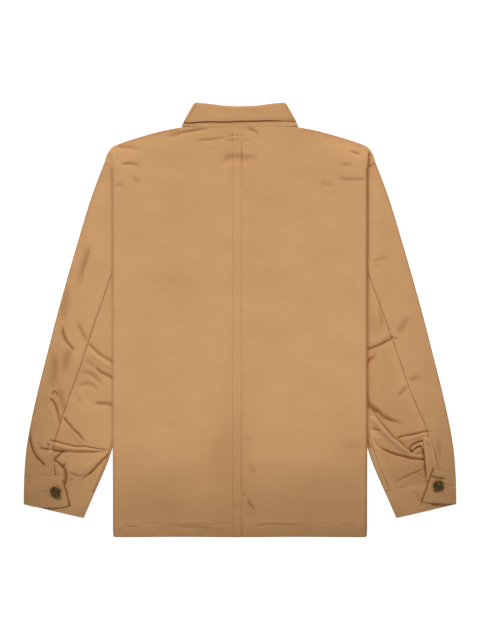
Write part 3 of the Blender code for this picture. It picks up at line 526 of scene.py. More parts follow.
# The lower back stands proud here, and the cloth ripples round the tack at the neck.
BACK_SWELL = Mound(118.0, -258.0, 78.0, 62.0, 4.2)
NECK_RIPPLES = Mound(10.0, 318.0, 16.0, 13.0, 0.8)
SLEEVE_FOLDS = {
    -1: table(
        Fold,
        (262, 138, 273, 98, 288, 46, -2.0, 8.0, 5.0, 0.3, 0.4),
        (303, 68, 307, 34, 310, -6, -1.5, 7.5, 7.0, 0.5, 0.2),
        (312, -6, 308, -31, 289, -54, -2.8, 4.4, 3.0, 0.3, 0.1),
        (322, 36, 320, -20, 314, -56, 1.5, 7.0, 6.0, 0.5, 0.5),
        (299, -50, 305, -72, 310, -104, -1.7, 8.5, 8.0, 0.25, 0.4, 1.1),
        (316, -62, 316, -90, 317, -114, 1.2, 4.5, 4.5, 0.4, 0.4),
        (327, -54, 326, -88, 325, -124, -1.8, 7.5, 6.5, 0.35, 0.3),
        (337, -56, 338, -88, 341, -120, 1.2, 5.0, 6.0, 0.5, 0.5),
        (335, -100, 331, -112, 326, -126, -1.2, 5.0, 5.0, 0.4, 0.4),
        (332, -133, 325, -127, 317, -140, -2.3, 3.0, 3.2, 0.2, 0.3),
        (337, -140, 324.5, -150, 317, -190, -2.8, 3.6, 3.0, 0.15, 0.2),
        (344, -150, 332, -160, 324, -192, 1.3, 6.0, 4.0, 0.4, 0.4),
        (322, -110, 314, -138, 307, -168, -1.7, 7.0, 6.0, 0.4, 0.3, 1.1),
        (293, 3, 280, -16, 268, -38, -1.5, 5.0, 5.0, 0.5, 0.1, 1.1),
        (267, -41, 247, -61, 219, -77, -2.4, 2.8, 4.4, 0.1, 0.1, 0.9),
        (268, -52, 248, -70, 222, -86, 1.6, 5.5, 6.0, 0.3, 0.2),
        (276, -64, 265, -76, 254, -86, -1.1, 5.0, 5.0, 0.4, 0.2),
        (258, -82, 242, -94, 218, -104, -2.7, 2.6, 4.0, 0.25, 0.0),
        (284, -93, 258, -98, 238, -123, -1.6, 5.5, 5.0, 0.25, 0.35),
        (272, -104, 256, -110, 242, -132, 0.8, 4.0, 4.0, 0.4, 0.4),
        (293, -121, 266, -113, 245, -126, -1.3, 4.5, 4.5, 0.3, 0.4),
        (293, -126, 285, -140, 278, -150, -1.0, 5.0, 5.0, 0.4, 0.4),
        (327, -256, 326.8, -265, 326.6, -277, -0.4, 1.4, 1.4, 0.1, 0.0, 5.0),
        (264, -150, 243, -149, 220, -152, -2.2, 3.4, 5.2, 0.5, 0.0),
        (311, -171, 294, -192, 268, -220, -2.8, 3.4, 2.6, 0.1, 0.25),
        (303, -186, 290, -206, 276, -218, 1.5, 3.0, 6.0, 0.3, 0.4),
        (336, -211, 306, -219, 226, -230, -2.4, 2.4, 2.0, 0.1, 0.1, 0.8),
        (332, -219, 296, -226, 236, -230, 2.0, 4.2, 3.8, 0.1, 0.2),
        (357, -226, 322, -231, 292, -233, -2.9, 2.4, 3.0, 0.15, 0.35),
        (312, -232, 272, -235, 230, -231, -1.7, 2.4, 3.0, 0.3, 0.1, 0.7),
        (340, -217, 337, -226, 336, -234, -2.6, 2.4, 2.4, 0.2, 0.2),
        (223, -228, 252, -258.5, 287, -288, -3.1, 2.2, 2.4, 0.0, 0.3),
        (238, -238, 264, -258, 286, -276, 1.0, 6.0, 4.0, 0.2, 0.2),
        (368, -182, 366.5, -224, 340, -261, -3.0, 2.8, 3.4, 0.35, 0.1, 1.1),
        (359, -206, 356, -228, 340, -248, 1.8, 5.0, 5.0, 0.3, 0.3),
        (357, -214, 352, -221, 346, -227, -0.9, 2.6, 2.6, 0.3, 0.3),
        (310, -230, 318, -237, 328, -248, -3.2, 2.8, 2.8, 0.1, 0.1),
        (329, -248, 320, -253, 310, -263, -3.3, 3.0, 3.0, 0.1, 0.1),
        (305, -253, 311, -258, 312, -264, -2.8, 2.2, 2.2, 0.2, 0.1),
        (312, -258, 306, -272, 309, -292, -3.4, 4.0, 3.4, 0.1, 0.0),
        (300, -258, 296, -270, 300, -284, 1.6, 5.0, 5.0, 0.3, 0.2),
        (302, -268, 288, -274, 274, -276, -1.4, 4.0, 4.0, 0.3, 0.5),
    ),
    1: table(
        Fold,
        (221, -52, 246, -44, 270, -29, -2.6, 2.8, 3.4, 0.0, 0.15),
        (222, -42, 246, -34, 264, -20, 0.8, 7.0, 5.0, 0.2, 0.3),
        (262, -26, 270, -31, 279, -32, -1.9, 2.2, 2.6, 0.2, 0.3),
        (223, -80, 229, -70, 244, -62, -2.4, 3.4, 4.0, 0.0, 0.4),
        (274, -24, 288, -12, 298, 16, -1.8, 8.0, 7.0, 0.3, 0.4),
        (302, -16, 306, 8, 310, 30, 0.9, 10.0, 9.0, 0.5, 0.5),
        (244, 56, 247, 10, 250, -24, -1.3, 5.0, 5.0, 0.5, 0.4),
        (235, 50, 236, 10, 240, -24, 0.7, 5.0, 5.0, 0.5, 0.5),
        (279, -136, 286, -128, 296, -117, -1.4, 4.6, 4.0, 0.3, 0.2),
        (296, -108, 308, -105, 323, -100, -1.4, 5.0, 5.0, 0.3, 0.4),
        (230, 100, 244, 107, 264, 108, -1.4, 3.0, 4.4, 0.3, 0.5),
        (232, 92, 242, 95, 256, 96, -1.1, 2.6, 3.6, 0.3, 0.5),
        (221, -131, 228, -151, 250, -166, -3.6, 5.0, 5.0, 0.0, 0.2, 1.1),
        (238, -157, 262, -175, 296, -183, -2.6, 4.6, 6.4, 0.2, 0.5, 1.1),
        (226, -150, 256, -190, 287, -219, -2.3, 2.2, 2.0, 0.1, 0.2, 0.8),
        (276, -209, 292, -224, 306, -235, -2.3, 2.4, 2.2, 0.2, 0.1, 0.8),
        (232, -168, 262, -204, 306, -238, 3.2, 4.0, 7.0, 0.15, 0.15),
        (239, -213, 268, -236, 327, -246, -3.0, 3.0, 3.6, 0.45, 0.0),
        (230, -192, 238, -192, 250, -198, -1.9, 2.6, 3.0, 0.3, 0.4),
        (232, -202, 244, -207, 258, -211, 0.8, 3.0, 3.0, 0.4, 0.4),
        (276, -208, 302, -203, 343, -194, -2.4, 1.8, 2.6, 0.1, 0.25),
        (282, -212, 304, -208, 326, -201, 1.4, 3.0, 4.5, 0.2, 0.2),
        (299, -232, 305, -219, 331, -214, -3.1, 2.6, 2.4, 0.1, 0.2),
        (302, -233, 314, -224, 322, -229, -2.7, 2.0, 2.0, 0.1, 0.1),
        (299, -229, 303, -232, 309, -233, -2.9, 2.8, 2.8, 0.2, 0.3),
        (322, -227, 325, -236, 325, -248, -3.0, 2.4, 2.4, 0.1, 0.1),
        (306, -225, 314, -220, 322, -221, 2.0, 2.6, 2.6, 0.2, 0.2),
        (308, -238, 316, -234, 322, -237, -1.7, 1.8, 1.8, 0.2, 0.2),
        (322, -214, 330, -213, 335, -222, 1.6, 3.4, 3.4, 0.2, 0.3),
        (223, -204, 225, -216, 229, -228, -3.4, 4.0, 4.0, 0.0, 0.2, 1.1),
        (230, -208, 234, -220, 243, -232, 1.1, 3.0, 3.0, 0.3, 0.3),
        (236, -206, 240, -216, 250, -230, -1.0, 2.4, 2.4, 0.3, 0.4),
        (320, -228, 326.5, -250, 329.5, -281, -3.4, 2.5, 2.2, 0.1, 0.1, 1.1),
        (326, -257, 328, -266, 330, -278, -2.8, 3.0, 2.6, 0.2, 0.2),
        (310, -246, 314, -262, 318, -276, 1.2, 5.0, 4.0, 0.3, 0.3),
        (266, -293, 294, -275, 325, -264, -1.5, 2.0, 2.6, 0.5, 0.05),
        (338, -213, 343.6, -238, 349.8, -266, -0.5, 1.8, 1.8, 0.15, 0.0, 4.5),
        (346, -150, 352, -180, 356, -210, 0.9, 9.0, 9.0, 0.5, 0.5),
        (352, -208, 350, -228, 354, -252, -1.3, 5.0, 6.0, 0.4, 0.4),
    ),
}
CUFF_FOLDS = {
    -1: table(
        Fold,
        (311.3, -283, 306.5, -304, 300.4, -328, -0.4, 2.4, 2.4, 0.0, 0.0, 7.5),
        (352, -280, 340, -300, 338, -326, -0.5, 8.0, 6.0, 0.4, 0.4),
        (304, -280, 292, -286, 278, -295, -1.4, 3.0, 3.0, 0.1, 0.4),
        (276, -306, 284, -318, 288, -336, -0.6, 7.0, 7.0, 0.4, 0.4),
        (337, -302.6, 345, -302.6, 353, -304, -0.4, 1.3, 1.5, 0.2, 0.1, 3.6),
        (380, -273, 360, -274, 340, -273, -0.3, 1.2, 1.2, 0.1, 0.1, 4.0),
        (348, -331.5, 334, -332.6, 317, -332.2, -0.3, 1.7, 1.7, 0.15, 0.25, 8.0),
    ),
    1: table(
        Fold,
        (341.8, -261, 330.9, -290, 319.4, -322, -0.4, 2.4, 2.4, 0.0, 0.0, 7.5),
        (335, -276, 350, -278, 367, -279, -2.4, 2.0, 2.8, 0.15, 0.3, 1.2),
        (361, -291.6, 369, -291, 379, -293, -0.4, 1.3, 1.3, 0.1, 0.1, 3.6),
        (372, -282, 360, -300, 356, -318, -0.6, 7.0, 6.0, 0.4, 0.4),
        (284, -284, 296, -284, 310, -294, -1.3, 3.4, 3.4, 0.3, 0.4),
        (300, -300, 312, -308, 319, -322, -0.9, 6.0, 5.0, 0.4, 0.2),
        (310, -338, 326, -332.5, 343, -325, -0.3, 1.3, 1.3, 0.3, 0.0, 4.5),
    ),
}
# Hidden sides: shallow folds, sunk away from the ground.
FRONT_FOLDS = table(
    Fold,
    (190, 262, 160, 250, 132, 236, 0.9, 5.0, 4.0, 0.4, 0.4),
    (206, 120, 176, 96, 140, 88, 0.8, 6.0, 5.0, 0.4, 0.5),
    (202, -60, 170, -84, 128, -92, 0.8, 6.0, 6.0, 0.5, 0.5),
    (198, -250, 160, -236, 120, -240, 0.7, 7.0, 6.0, 0.5, 0.5),
    (90, -20, 84, -90, 90, -160, 0.6, 9.0, 8.0, 0.5, 0.5),
)
SLEEVE_LOWER_FOLDS = table(
    Fold,
    (250, -60, 270, -76, 300, -84, 0.9, 5.0, 4.0, 0.3, 0.4),
    (246, -150, 276, -160, 320, -156, 1.0, 5.0, 5.0, 0.3, 0.4),
    (258, -212, 300, -220, 348, -212, 1.1, 5.0, 5.0, 0.3, 0.4),
    (270, -256, 300, -262, 340, -256, 1.0, 4.0, 4.0, 0.3, 0.3),
    (262, 60, 280, 40, 300, 30, 0.8, 6.0, 5.0, 0.4, 0.4),
)
# Folds wander off their curves by this much, over this size.
WANDER = 1.3
WANDER_SIZE = 17.0
# How far a fold's far flank swings back past level, as a share of its height.
FOLD_REBOUND = 0.42
# A trough's bottom is a sharp crease and a ridge's crest a rounded one: the crease's share.
TROUGH_CREASE = 0.45
RIDGE_CREASE = 0.08
# The line of shade painted in a trough's bottom: its width as a share of the fold's, with a least
# width, and the depth of fold at which it is darkest, and the share of it that spreads over the
# flanks.
# Folds grow softer over this range of half widths.
SHADE_WIDTH = 0.42
SHADE_LEAST = 0.7
SHADE_DEPTH = 3.0
SHADE_HALO = 0.22
BROAD_FOLDS = Span(3.0, 6.5)
# How much of the folds' painted shade the back takes.
BODY_FOLD_SHADE = 0.7

# Slow unevenness of the cloth: size across and height of each layer of soft noise.
Unevenness = namedtuple("Unevenness", "size height")
BODY_UNEVEN = table(Unevenness, (74.0, 0.55), (31.0, 0.22), (13.0, 0.06))
SLEEVE_UNEVEN = table(Unevenness, (58.0, 0.9), (24.0, 0.42), (10.0, 0.12))
CUFF_UNEVEN = table(Unevenness, (22.0, 0.35), (9.0, 0.12))


# ---------------------------------------------------------------------------------------------
# Settings
# ---------------------------------------------------------------------------------------------


def length_setting(name, description, default, low, high=10.0):
    """A length in metres."""
    return FloatProperty(
        name=name, description=description, default=default, min=low, max=high, unit="LENGTH"
    )


def colour_setting(name, description, default):
    """A colour, in linear light."""
    return FloatVectorProperty(
        name=name, description=description, default=default, subtype="COLOR"
    )


class JacketClothSettings(bpy.types.PropertyGroup):
    """Thickness, weave and colours of the cloth."""

    wall: length_setting("Cloth thickness", "Thickness of one layer of cloth", 0.0008, 0.0004, 0.0015)
    firm_wall: length_setting(
        "Collar and cuff thickness",
        "Thickness of the doubled cloth of the collar, the stand and the cuffs",
        0.0015,
        0.001,
        0.002,
    )
    turning: length_setting(
        "Turned edge", "Distance between the two layers of a turned edge", 0.00085, 0.0008, 0.0012
    )
    fold_strength: FloatProperty(
        name="Fold strength",
        description="Height of the folds as a share of the laid-out height",
        default=1.0,
        min=0.0,
        max=1.2,
        subtype="FACTOR",
    )
    weave: length_setting(
        "Weave pitch", "Distance between neighbouring yarns", 0.0011, 0.0005, 0.003
    )
    light_tan: colour_setting("Light tan", "Cloth colour on the high yarns", (0.575, 0.318, 0.139))
    dark_tan: colour_setting(
        "Dark tan", "Cloth colour between the yarns and in slubs", (0.500, 0.269, 0.114)
    )
    # Painted shade: the colour that the cloth is multiplied by where shade is painted in its creases.
    crease_shade_tint: colour_setting(
        "Crease tint",
        "Share of the cloth's colour that is left in the bottom of a sharp crease",
        (0.50, 0.33, 0.165),
    )


class JacketStitchSettings(bpy.types.PropertyGroup):
    """Size and colour of the stitching."""

    pitch: length_setting("Stitch pitch", "Distance between stitches", 0.0038, 0.002, 0.006)
    length: length_setting(
        "Stitch length", "Length of the thread that shows in one stitch", 0.0028, 0.001, 0.005
    )
    thread: length_setting("Thread width", "Diameter of the sewing thread", 0.0007, 0.0003, 0.0012)
    tint: colour_setting("Thread colour", "Colour of the sewing thread", (0.705, 0.478, 0.262))


class JacketButtonSettings(bpy.types.PropertyGroup):
    """Shape and colours of the metal buttons."""

    rings: IntProperty(
        name="Steps round", description="Faces round a button's rim", default=48, min=24, max=96
    )
    bronze: colour_setting("Bronze", "Colour of the polished high parts", (0.270, 0.180, 0.065))
    patina: colour_setting("Patina", "Colour of the dark low parts", (0.055, 0.035, 0.010))


class JacketStageSettings(bpy.types.PropertyGroup):
    """Floor, lights and camera."""

    floor_tint: colour_setting("Floor", "Colour of the floor", (0.14, 0.14, 0.14))
    floor_glow: FloatProperty(
        name="Floor glow",
        description="Light from the floor itself, as a light table has",
        default=1.0,
        min=0.0,
    )
    key_power: FloatProperty(
        name="Key light",
        description="Power of the gridded softbox on the collar side",
        default=1.66,
        min=0.0,
        unit="POWER",
    )
    key_spread: FloatProperty(
        name="Key spread",
        description="Angle over which the softbox's grid lets light out",
        default=math.radians(8.0),
        min=math.radians(4.0),
        max=math.pi,
        subtype="ANGLE",
    )
    surround: FloatProperty(
        name="Surround",
        description="Strength of the even light from all round",
        default=0.345,
        min=0.0,
    )
    camera_height: length_setting("Camera height", "Height of the camera over the floor", 3.2, 1.0)


# ---------------------------------------------------------------------------------------------
# Curves and fields
# ---------------------------------------------------------------------------------------------


def ramp(value, span):
    """0 up to the span's start, 1 from its end on, and a smooth S between them."""
    share = np.clip((np.asarray(value, float) - span.start) / (span.end - span.start), 0.0, 1.0)
    return share * share * (3.0 - 2.0 * share)


def column(rows, name):
    """One column of a table."""
    return np.array([getattr(row, name) for row in rows], float)


def read(rows, key, at, name):
    """A column of a table where its key has the value at, straight between rows."""
    return np.interp(at, column(rows, key), column(rows, name))


def smooth(values, share):
    """Values or points at a share of their count, on a smooth curve through them."""
    padded = np.concatenate([values[:1], values, values[-1:]])
    place = np.asarray(share, float) * (len(values) - 1)
    first = np.clip(np.floor(place).astype(int), 0, len(values) - 2)
    part = place - first
    if values.ndim > 1:
        part = part[:, None]
    start, end = padded[first + 1], padded[first + 2]
    leave, arrive = (end - padded[first]) / 2, (padded[first + 3] - start) / 2
    return (
        start * (1 + 2 * part) * (1 - part) ** 2
        + leave * part * (1 - part) ** 2
        + end * part**2 * (3 - 2 * part)
        + arrive * part**2 * (part - 1)
    )


def between(rows, share, name):
    """A column of a table at a share of its rows, on a smooth curve through them."""
    return smooth(column(rows, name), share)


def along(line, share):
    """Places at shares of the length of a line of outline points."""
    x, y = column(line, "x"), column(line, "y")
    lengths = np.concatenate([[0.0], np.cumsum(np.hypot(np.diff(x), np.diff(y)))])
    at = np.asarray(share, float) * lengths[-1]
    return np.interp(at, lengths, x), np.interp(at, lengths, y)


def spread(stops):
    """Places from stop to stop, each run split to about its spacing."""
    places = [stops[0].place]
    for low, high in zip(stops, stops[1:]):
        count = max(1, round((high.place - low.place) / low.spacing))
        places += [low.place + (high.place - low.place) * k / count for k in range(1, count + 1)]
    return np.array(places)


def stack(x, y, z, hollow=0.0):
    """Points from arrays of coordinates, with the shade painted on each as a fourth value."""
    return np.stack(np.broadcast_arrays(x, y, z, hollow), axis=-1).astype(float)


def unit(vectors):
    """Vectors of length 1, whose fourth value is 0."""
    places = vectors[..., :3]
    size = np.maximum(np.linalg.norm(places, axis=-1, keepdims=True), 1e-9)
    return np.concatenate([places / size, 0 * vectors[..., 3:]], axis=-1)


def direction(vector):
    """A vector in plan, made length 1."""
    return vector / np.linalg.norm(vector)


def soft_noise(x, y, size, seed):
    """Smooth seeded noise between -1 and 1, with features about size across."""
    rng = np.random.default_rng(seed)
    lattice = rng.uniform(-1.0, 1.0, (128, 128))
    u, v = np.asarray(x) / size + 61.0, np.asarray(y) / size + 61.0
    column_0, row_0 = np.floor(u).astype(int), np.floor(v).astype(int)
    share_u, share_v = u - column_0, v - row_0
    share_u = share_u**3 * (share_u * (6 * share_u - 15) + 10)
    share_v = share_v**3 * (share_v * (6 * share_v - 15) + 10)

    def corner(step_u, step_v):
        return lattice[(row_0 + step_v) % 128, (column_0 + step_u) % 128]

    low = corner(0, 0) * (1 - share_u) + corner(1, 0) * share_u
    high = corner(0, 1) * (1 - share_u) + corner(1, 1) * share_u
    return low * (1 - share_v) + high * share_v


def unevenness(x, y, layers, seed):
    """The sum of a list of noise layers."""
    return sum(
        layer.height * soft_noise(x, y, layer.size, seed + k) for k, layer in enumerate(layers)
    )


def fold_curve(fold):
    """Points along a fold, on the parabola through its three places."""
    start, via, end = np.array(fold[:6], float).reshape(3, 2)
    bend = 2 * via - (start + end) / 2
    share = np.linspace(0.0, 1.0, 15)[:, None]
    return start * (1 - share) ** 2 + 2 * bend * share * (1 - share) + end * share**2


def fold_lift(folds, x, y):
    """How far a list of folds raises the cloth at each place, and how much shade is painted there in
    the folds' troughs.
    """
    x, y = np.broadcast_arrays(np.asarray(x, float), np.asarray(y, float))
    wander_x, wander_y = [WANDER * soft_noise(x, y, WANDER_SIZE, seed) for seed in WANDER_SEEDS]
    lift = np.zeros(x.shape)
    hollow = np.zeros(x.shape)
    for fold in folds:
        curve = fold_curve(fold)
        reach = 3.0 * max(fold.left, fold.right)
        low, high = curve.min(axis=0) - reach, curve.max(axis=0) + reach
        near = (x > low[0]) & (x < high[0]) & (y > low[1]) & (y < high[1])
        if not near.any():
            continue
        place = np.stack([x[near] + wander_x[near], y[near] + wander_y[near]], axis=-1)
        best = np.full(len(place), 1e9)
        side = np.zeros(len(place))
        share = np.zeros(len(place))
        for k, (start, end) in enumerate(zip(curve, curve[1:])):
            run = end - start
            part = np.clip(((place - start) @ run) / (run @ run), 0.0, 1.0)
            gap = place - (start + part[:, None] * run)
            distance = np.hypot(gap[:, 0], gap[:, 1])
            closer = distance < best
            best = np.where(closer, distance, best)
            side = np.where(closer, run[0] * gap[:, 1] - run[1] * gap[:, 0], side)
            share = np.where(closer, (k + part) / (len(curve) - 1), share)
        width = np.where(side > 0, fold.left, fold.right)
        reach_share = best / width
        flank = reach_share**2
        soft = np.exp(-flank) * (1 - FOLD_REBOUND * flank)
        broad = ramp(width, BROAD_FOLDS)
        crease = TROUGH_CREASE * (1 - 0.8 * broad) if fold.height < 0 else RIDGE_CREASE
        ends = ramp(share, Span(-0.001, fold.fade_in + 0.001))
        ends = ends * (1 - ramp(share, Span(0.999 - fold.fade_out, 1.001)))
        lift[near] += fold.height * ends * (
            soft + crease * (np.exp(-2.4 * reach_share) - soft)
        )
        # Painted shade: a dark line along the trough's bottom, with a halo over its flanks.
        if fold.height < 0:
            line = np.exp(-((best / (SHADE_WIDTH * width + SHADE_LEAST)) ** 2))
            halo = SHADE_HALO + (0.8 - SHADE_HALO) * broad
            line = line * (1 - halo) + np.exp(-flank) * halo * (1 - 0.4 * broad)
            depth = -fold.height / SHADE_DEPTH * fold.shade * ends * line
            hollow[near] = np.maximum(hollow[near], depth)
    return lift, hollow


def surface_normals(points):
    """Unit normals of a grid of points; up where columns run outward and rows to the collar."""
    places = points[..., :3]
    normals = np.cross(np.gradient(places, axis=1), np.gradient(places, axis=0))
    return unit(np.concatenate([normals, 0 * points[..., 3:]], axis=-1))


def half_turn(edge_x, edge_y, inward_x, inward_y, start_z, end_z, wall):
    """A fold from one layer to another, as columns whose outer face just reaches the edge, with shade
    painted on its roll.
    """
    radius = np.abs(start_z - end_z) / 2
    middle = (start_z + end_z) / 2
    columns = []
    for k in range(ROLL_STEPS + 1):
        angle = math.pi * k / ROLL_STEPS
        inset = wall / 2 + radius * (1.0 - math.sin(angle))
        z = middle + (start_z - middle) * math.cos(angle)
        x, y = edge_x + inward_x * inset, edge_y + inward_y * inset
        columns.append(stack(x, y, z, ROLL_SHADE))
    return columns


def turn_edge(points, inside, turning, count):
    """Turns cloth under a sheet's first line, on the inside (-1 below the grid, 1 above it)."""
    normals = surface_normals(points) * inside
    radius = turning / 2
    outward = unit(points[0] - points[1])
    centre = points[0] - outward * radius + normals[0] * radius
    under = [points[k] + normals[k] * turning for k in range(count, 0, -1)]
    bend = []
    for step in (2, 1, 0, -1, -2):
        angle = step * math.pi / 4
        bend.append(centre + radius * (outward * math.cos(angle) + normals[0] * math.sin(angle)))
    return np.concatenate([np.array(under + bend), points[1:]])


def turn_columns(points, inside, turning, count):
    """turn_edge on a sheet's first column."""
    turned = turn_edge(np.swapaxes(points, 0, 1), -inside, turning, count)
    return np.swapaxes(turned, 0, 1)


# ---------------------------------------------------------------------------------------------
# Finishes
# ---------------------------------------------------------------------------------------------


class Finish:
    """A node material being made: its shader, and the nodes that lead to it."""

    def __init__(self, name):
        self.material = bpy.data.materials.new(name)
        self.material.use_nodes = True
        self.tree = self.material.node_tree
        self.shader = self.tree.nodes["Principled BSDF"]

    def feed(self, node, inputs):
        """Sets a node's inputs, each to a constant or to a link from a socket."""
        for key, value in inputs.items():
            if isinstance(value, bpy.types.NodeSocket):
                self.tree.links.new(value, node.inputs[key])
            else:
                node.inputs[key].default_value = value

    def add(self, kind, inputs=None, **settings):
        """A new node, with its settings and its inputs by name or by place."""
        node = self.tree.nodes.new(kind)
        for key, value in settings.items():
            setattr(node, key, value)
        self.feed(node, inputs or {})
        return node

    def maths(self, operation, first, second):
        """The result of arithmetic on two terms, each a socket or a number."""
        return self.add("ShaderNodeMath", {0: first, 1: second}, operation=operation).outputs[0]

    def weighted(self, *terms):
        """The sum of sockets, each times its weight."""
        parts = [self.maths("MULTIPLY", socket, weight) for socket, weight in terms]
        total = parts[0]
        for part in parts[1:]:
            total = self.maths("ADD", total, part)
        return total

    def noise(self, place, scale, detail=2.0, roughness=0.5):
        """Noise whose features are 1/scale metres."""
        inputs = {"Vector": place, "Scale": scale, "Detail": detail, "Roughness": roughness}
        return self.add("ShaderNodeTexNoise", inputs).outputs["Fac"]

    def stretched_noise(self, place, across, lengthwise, detail=2.0):
        """Noise whose features are 1/across by 1/lengthwise metres."""
        inputs = {0: place, 1: (across, lengthwise, 1.0)}
        scaled = self.add("ShaderNodeVectorMath", inputs, operation="MULTIPLY").outputs[0]
        return self.noise(scaled, 1.0, detail, 0.55)

    def rescale(self, value, bounds):
        """A value taken from one range to another, where each bound is 0 or 1 unless given."""
        return self.add("ShaderNodeMapRange", {"Value": value, **bounds}).outputs["Result"]

    def mix(self, share, first, second, **settings):
        """A mix of two colours, each a socket or a constant."""
        inputs = {"Factor": share}
        for key, colour in (("A", first), ("B", second)):
            inputs[key] = colour if isinstance(colour, bpy.types.NodeSocket) else (*colour, 1.0)
        return self.add("ShaderNodeMix", inputs, data_type="RGBA", **settings).outputs["Result"]

    def bump(self, height, strength, distance):
        """Relief on the shader's surface."""
        inputs = {"Height": height, "Strength": strength, "Distance": distance}
        self.feed(self.shader, {"Normal": self.add("ShaderNodeBump", inputs).outputs["Normal"]})


def cotton_finish(finish):
    """Plain-woven cotton: yarns both ways, thicker weft slubs, slow changes of tone, and shade
    painted into creases.
    """
    settings = bpy.context.scene.jacket_cloth
    cut = finish.add("ShaderNodeUVMap", uv_map="Cut").outputs["UV"]
    axes = finish.add("ShaderNodeSeparateXYZ", {0: cut}).outputs
    turns = 2 * math.pi / settings.weave
    warp, weft = [
        finish.maths("SINE", finish.maths("MULTIPLY", axes[axis], turns), 0.0) for axis in "XY"
    ]
    weave = finish.maths("MULTIPLY", warp, weft)
    slubs = finish.stretched_noise(cut, 34.0, 640.0)
    warp_slubs = finish.stretched_noise(cut, 700.0, 38.0)
    clouds = finish.stretched_noise(cut, 14.0, 22.0, 4.0)
    fuzz = finish.stretched_noise(cut, 1500.0, 1500.0)

    tone = finish.weighted((slubs, 0.36), (warp_slubs, 0.16), (clouds, 0.48), (weave, 0.05))
    tone = finish.rescale(tone, {"From Min": 0.32, "From Max": 0.70})
    colour = finish.mix(tone, settings.dark_tan, settings.light_tan)
    # Painted shade: the cloth's colour is multiplied toward the crease shade tint by the painted
    # shade attribute.
    hollow = finish.add("ShaderNodeAttribute", attribute_name="PaintedShade").outputs["Fac"]
    colour = finish.mix(hollow, colour, settings.crease_shade_tint, blend_type="MULTIPLY")
    relief = finish.weighted((weave, 0.16), (slubs, 1.5), (warp_slubs, 0.55), (fuzz, 0.35))
    finish.bump(relief, 0.55, 0.00026)
    finish.feed(
        finish.shader,
        {
            "Base Color": colour,
            "Roughness": finish.rescale(slubs, {"To Min": 0.80, "To Max": 0.94}),
            "Specular IOR Level": 0.22,
            "Sheen Weight": 0.10,
            "Sheen Roughness": 0.6,
            "Sheen Tint": (1.0, 0.88, 0.72, 1.0),
        },
    )


def thread_finish(finish):
    """Sewing thread: a little lighter than the cloth, with the twist of its plies."""
    tint = bpy.context.scene.jacket_stitches.tint
    plies = finish.noise(finish.add("ShaderNodeTexCoord").outputs["Object"], 900.0)
    finish.bump(plies, 0.4, 0.0001)
    finish.feed(
        finish.shader,
        {
            "Base Color": finish.mix(plies, [0.78 * part for part in tint], tint),
            "Roughness": 0.7,
            "Specular IOR Level": 0.3,
        },
    )


def bronze_finish(finish):
    """Antiqued bronze: dark patina and rubbed bright bronze in patches of noise, over fine pits."""
    settings = bpy.context.scene.jacket_buttons
    place = finish.add("ShaderNodeTexCoord").outputs["Object"]
    patches = finish.noise(place, 260.0, 4.0, 0.6)
    pits = finish.noise(place, 1400.0)
    share = finish.rescale(patches, {"From Min": 0.38, "From Max": 0.64})
    finish.bump(pits, 0.35, 0.0001)
    finish.feed(
        finish.shader,
        {
            "Base Color": finish.mix(share, settings.patina, settings.bronze),
            "Roughness": finish.rescale(patches, {"To Min": 0.55, "To Max": 0.34}),
            "Metallic": 0.85,
        },
    )


def floor_finish(finish):
    """A pale floor that glows evenly, as a light table does."""
    settings = bpy.context.scene.jacket_stage
    finish.feed(
        finish.shader,
        {
            "Base Color": (*settings.floor_tint, 1.0),
            "Roughness": 0.9,
            "Specular IOR Level": 0.1,
            "Emission Color": (1.0, 1.0, 1.0, 1.0),
            "Emission Strength": settings.floor_glow,
        },
    )


FINISHES = {
    "camel_cotton": cotton_finish,
    "tan_thread": thread_finish,
    "antique_bronze": bronze_finish,
    "pale_floor": floor_finish,
}


def material_of(name):
    """The material of this name, made when it is first asked for."""
    found = bpy.data.materials.get(name)
    if found is None:
        finish = Finish(name)
        FINISHES[name](finish)
        found = finish.material
    return found


# ---------------------------------------------------------------------------------------------
# Cloth pieces
# ---------------------------------------------------------------------------------------------


def thickness(name):
    """A thickness from the cloth's settings, in millimetres."""
    return getattr(bpy.context.scene.jacket_cloth, name) / MM


def mesh_from(form, name):
    """A mesh from an editable form, which is freed."""
    mesh = bpy.data.meshes.new(name)
    form.to_mesh(mesh)
    form.free()
    return mesh


def add_object(data):
    """An object in the scene, named after its data."""
    made = bpy.data.objects.new(data.name, data)
    bpy.context.scene.collection.objects.link(made)
    return made


def add_piece(mesh, finish, nodes=()):
    """A mesh as a piece that rides on the jacket's body, in the place of its nodes."""
    mesh.materials.append(material_of(finish))
    made = add_object(mesh)
    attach(made, "root")
    if nodes:
        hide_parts(*nodes)
    return made


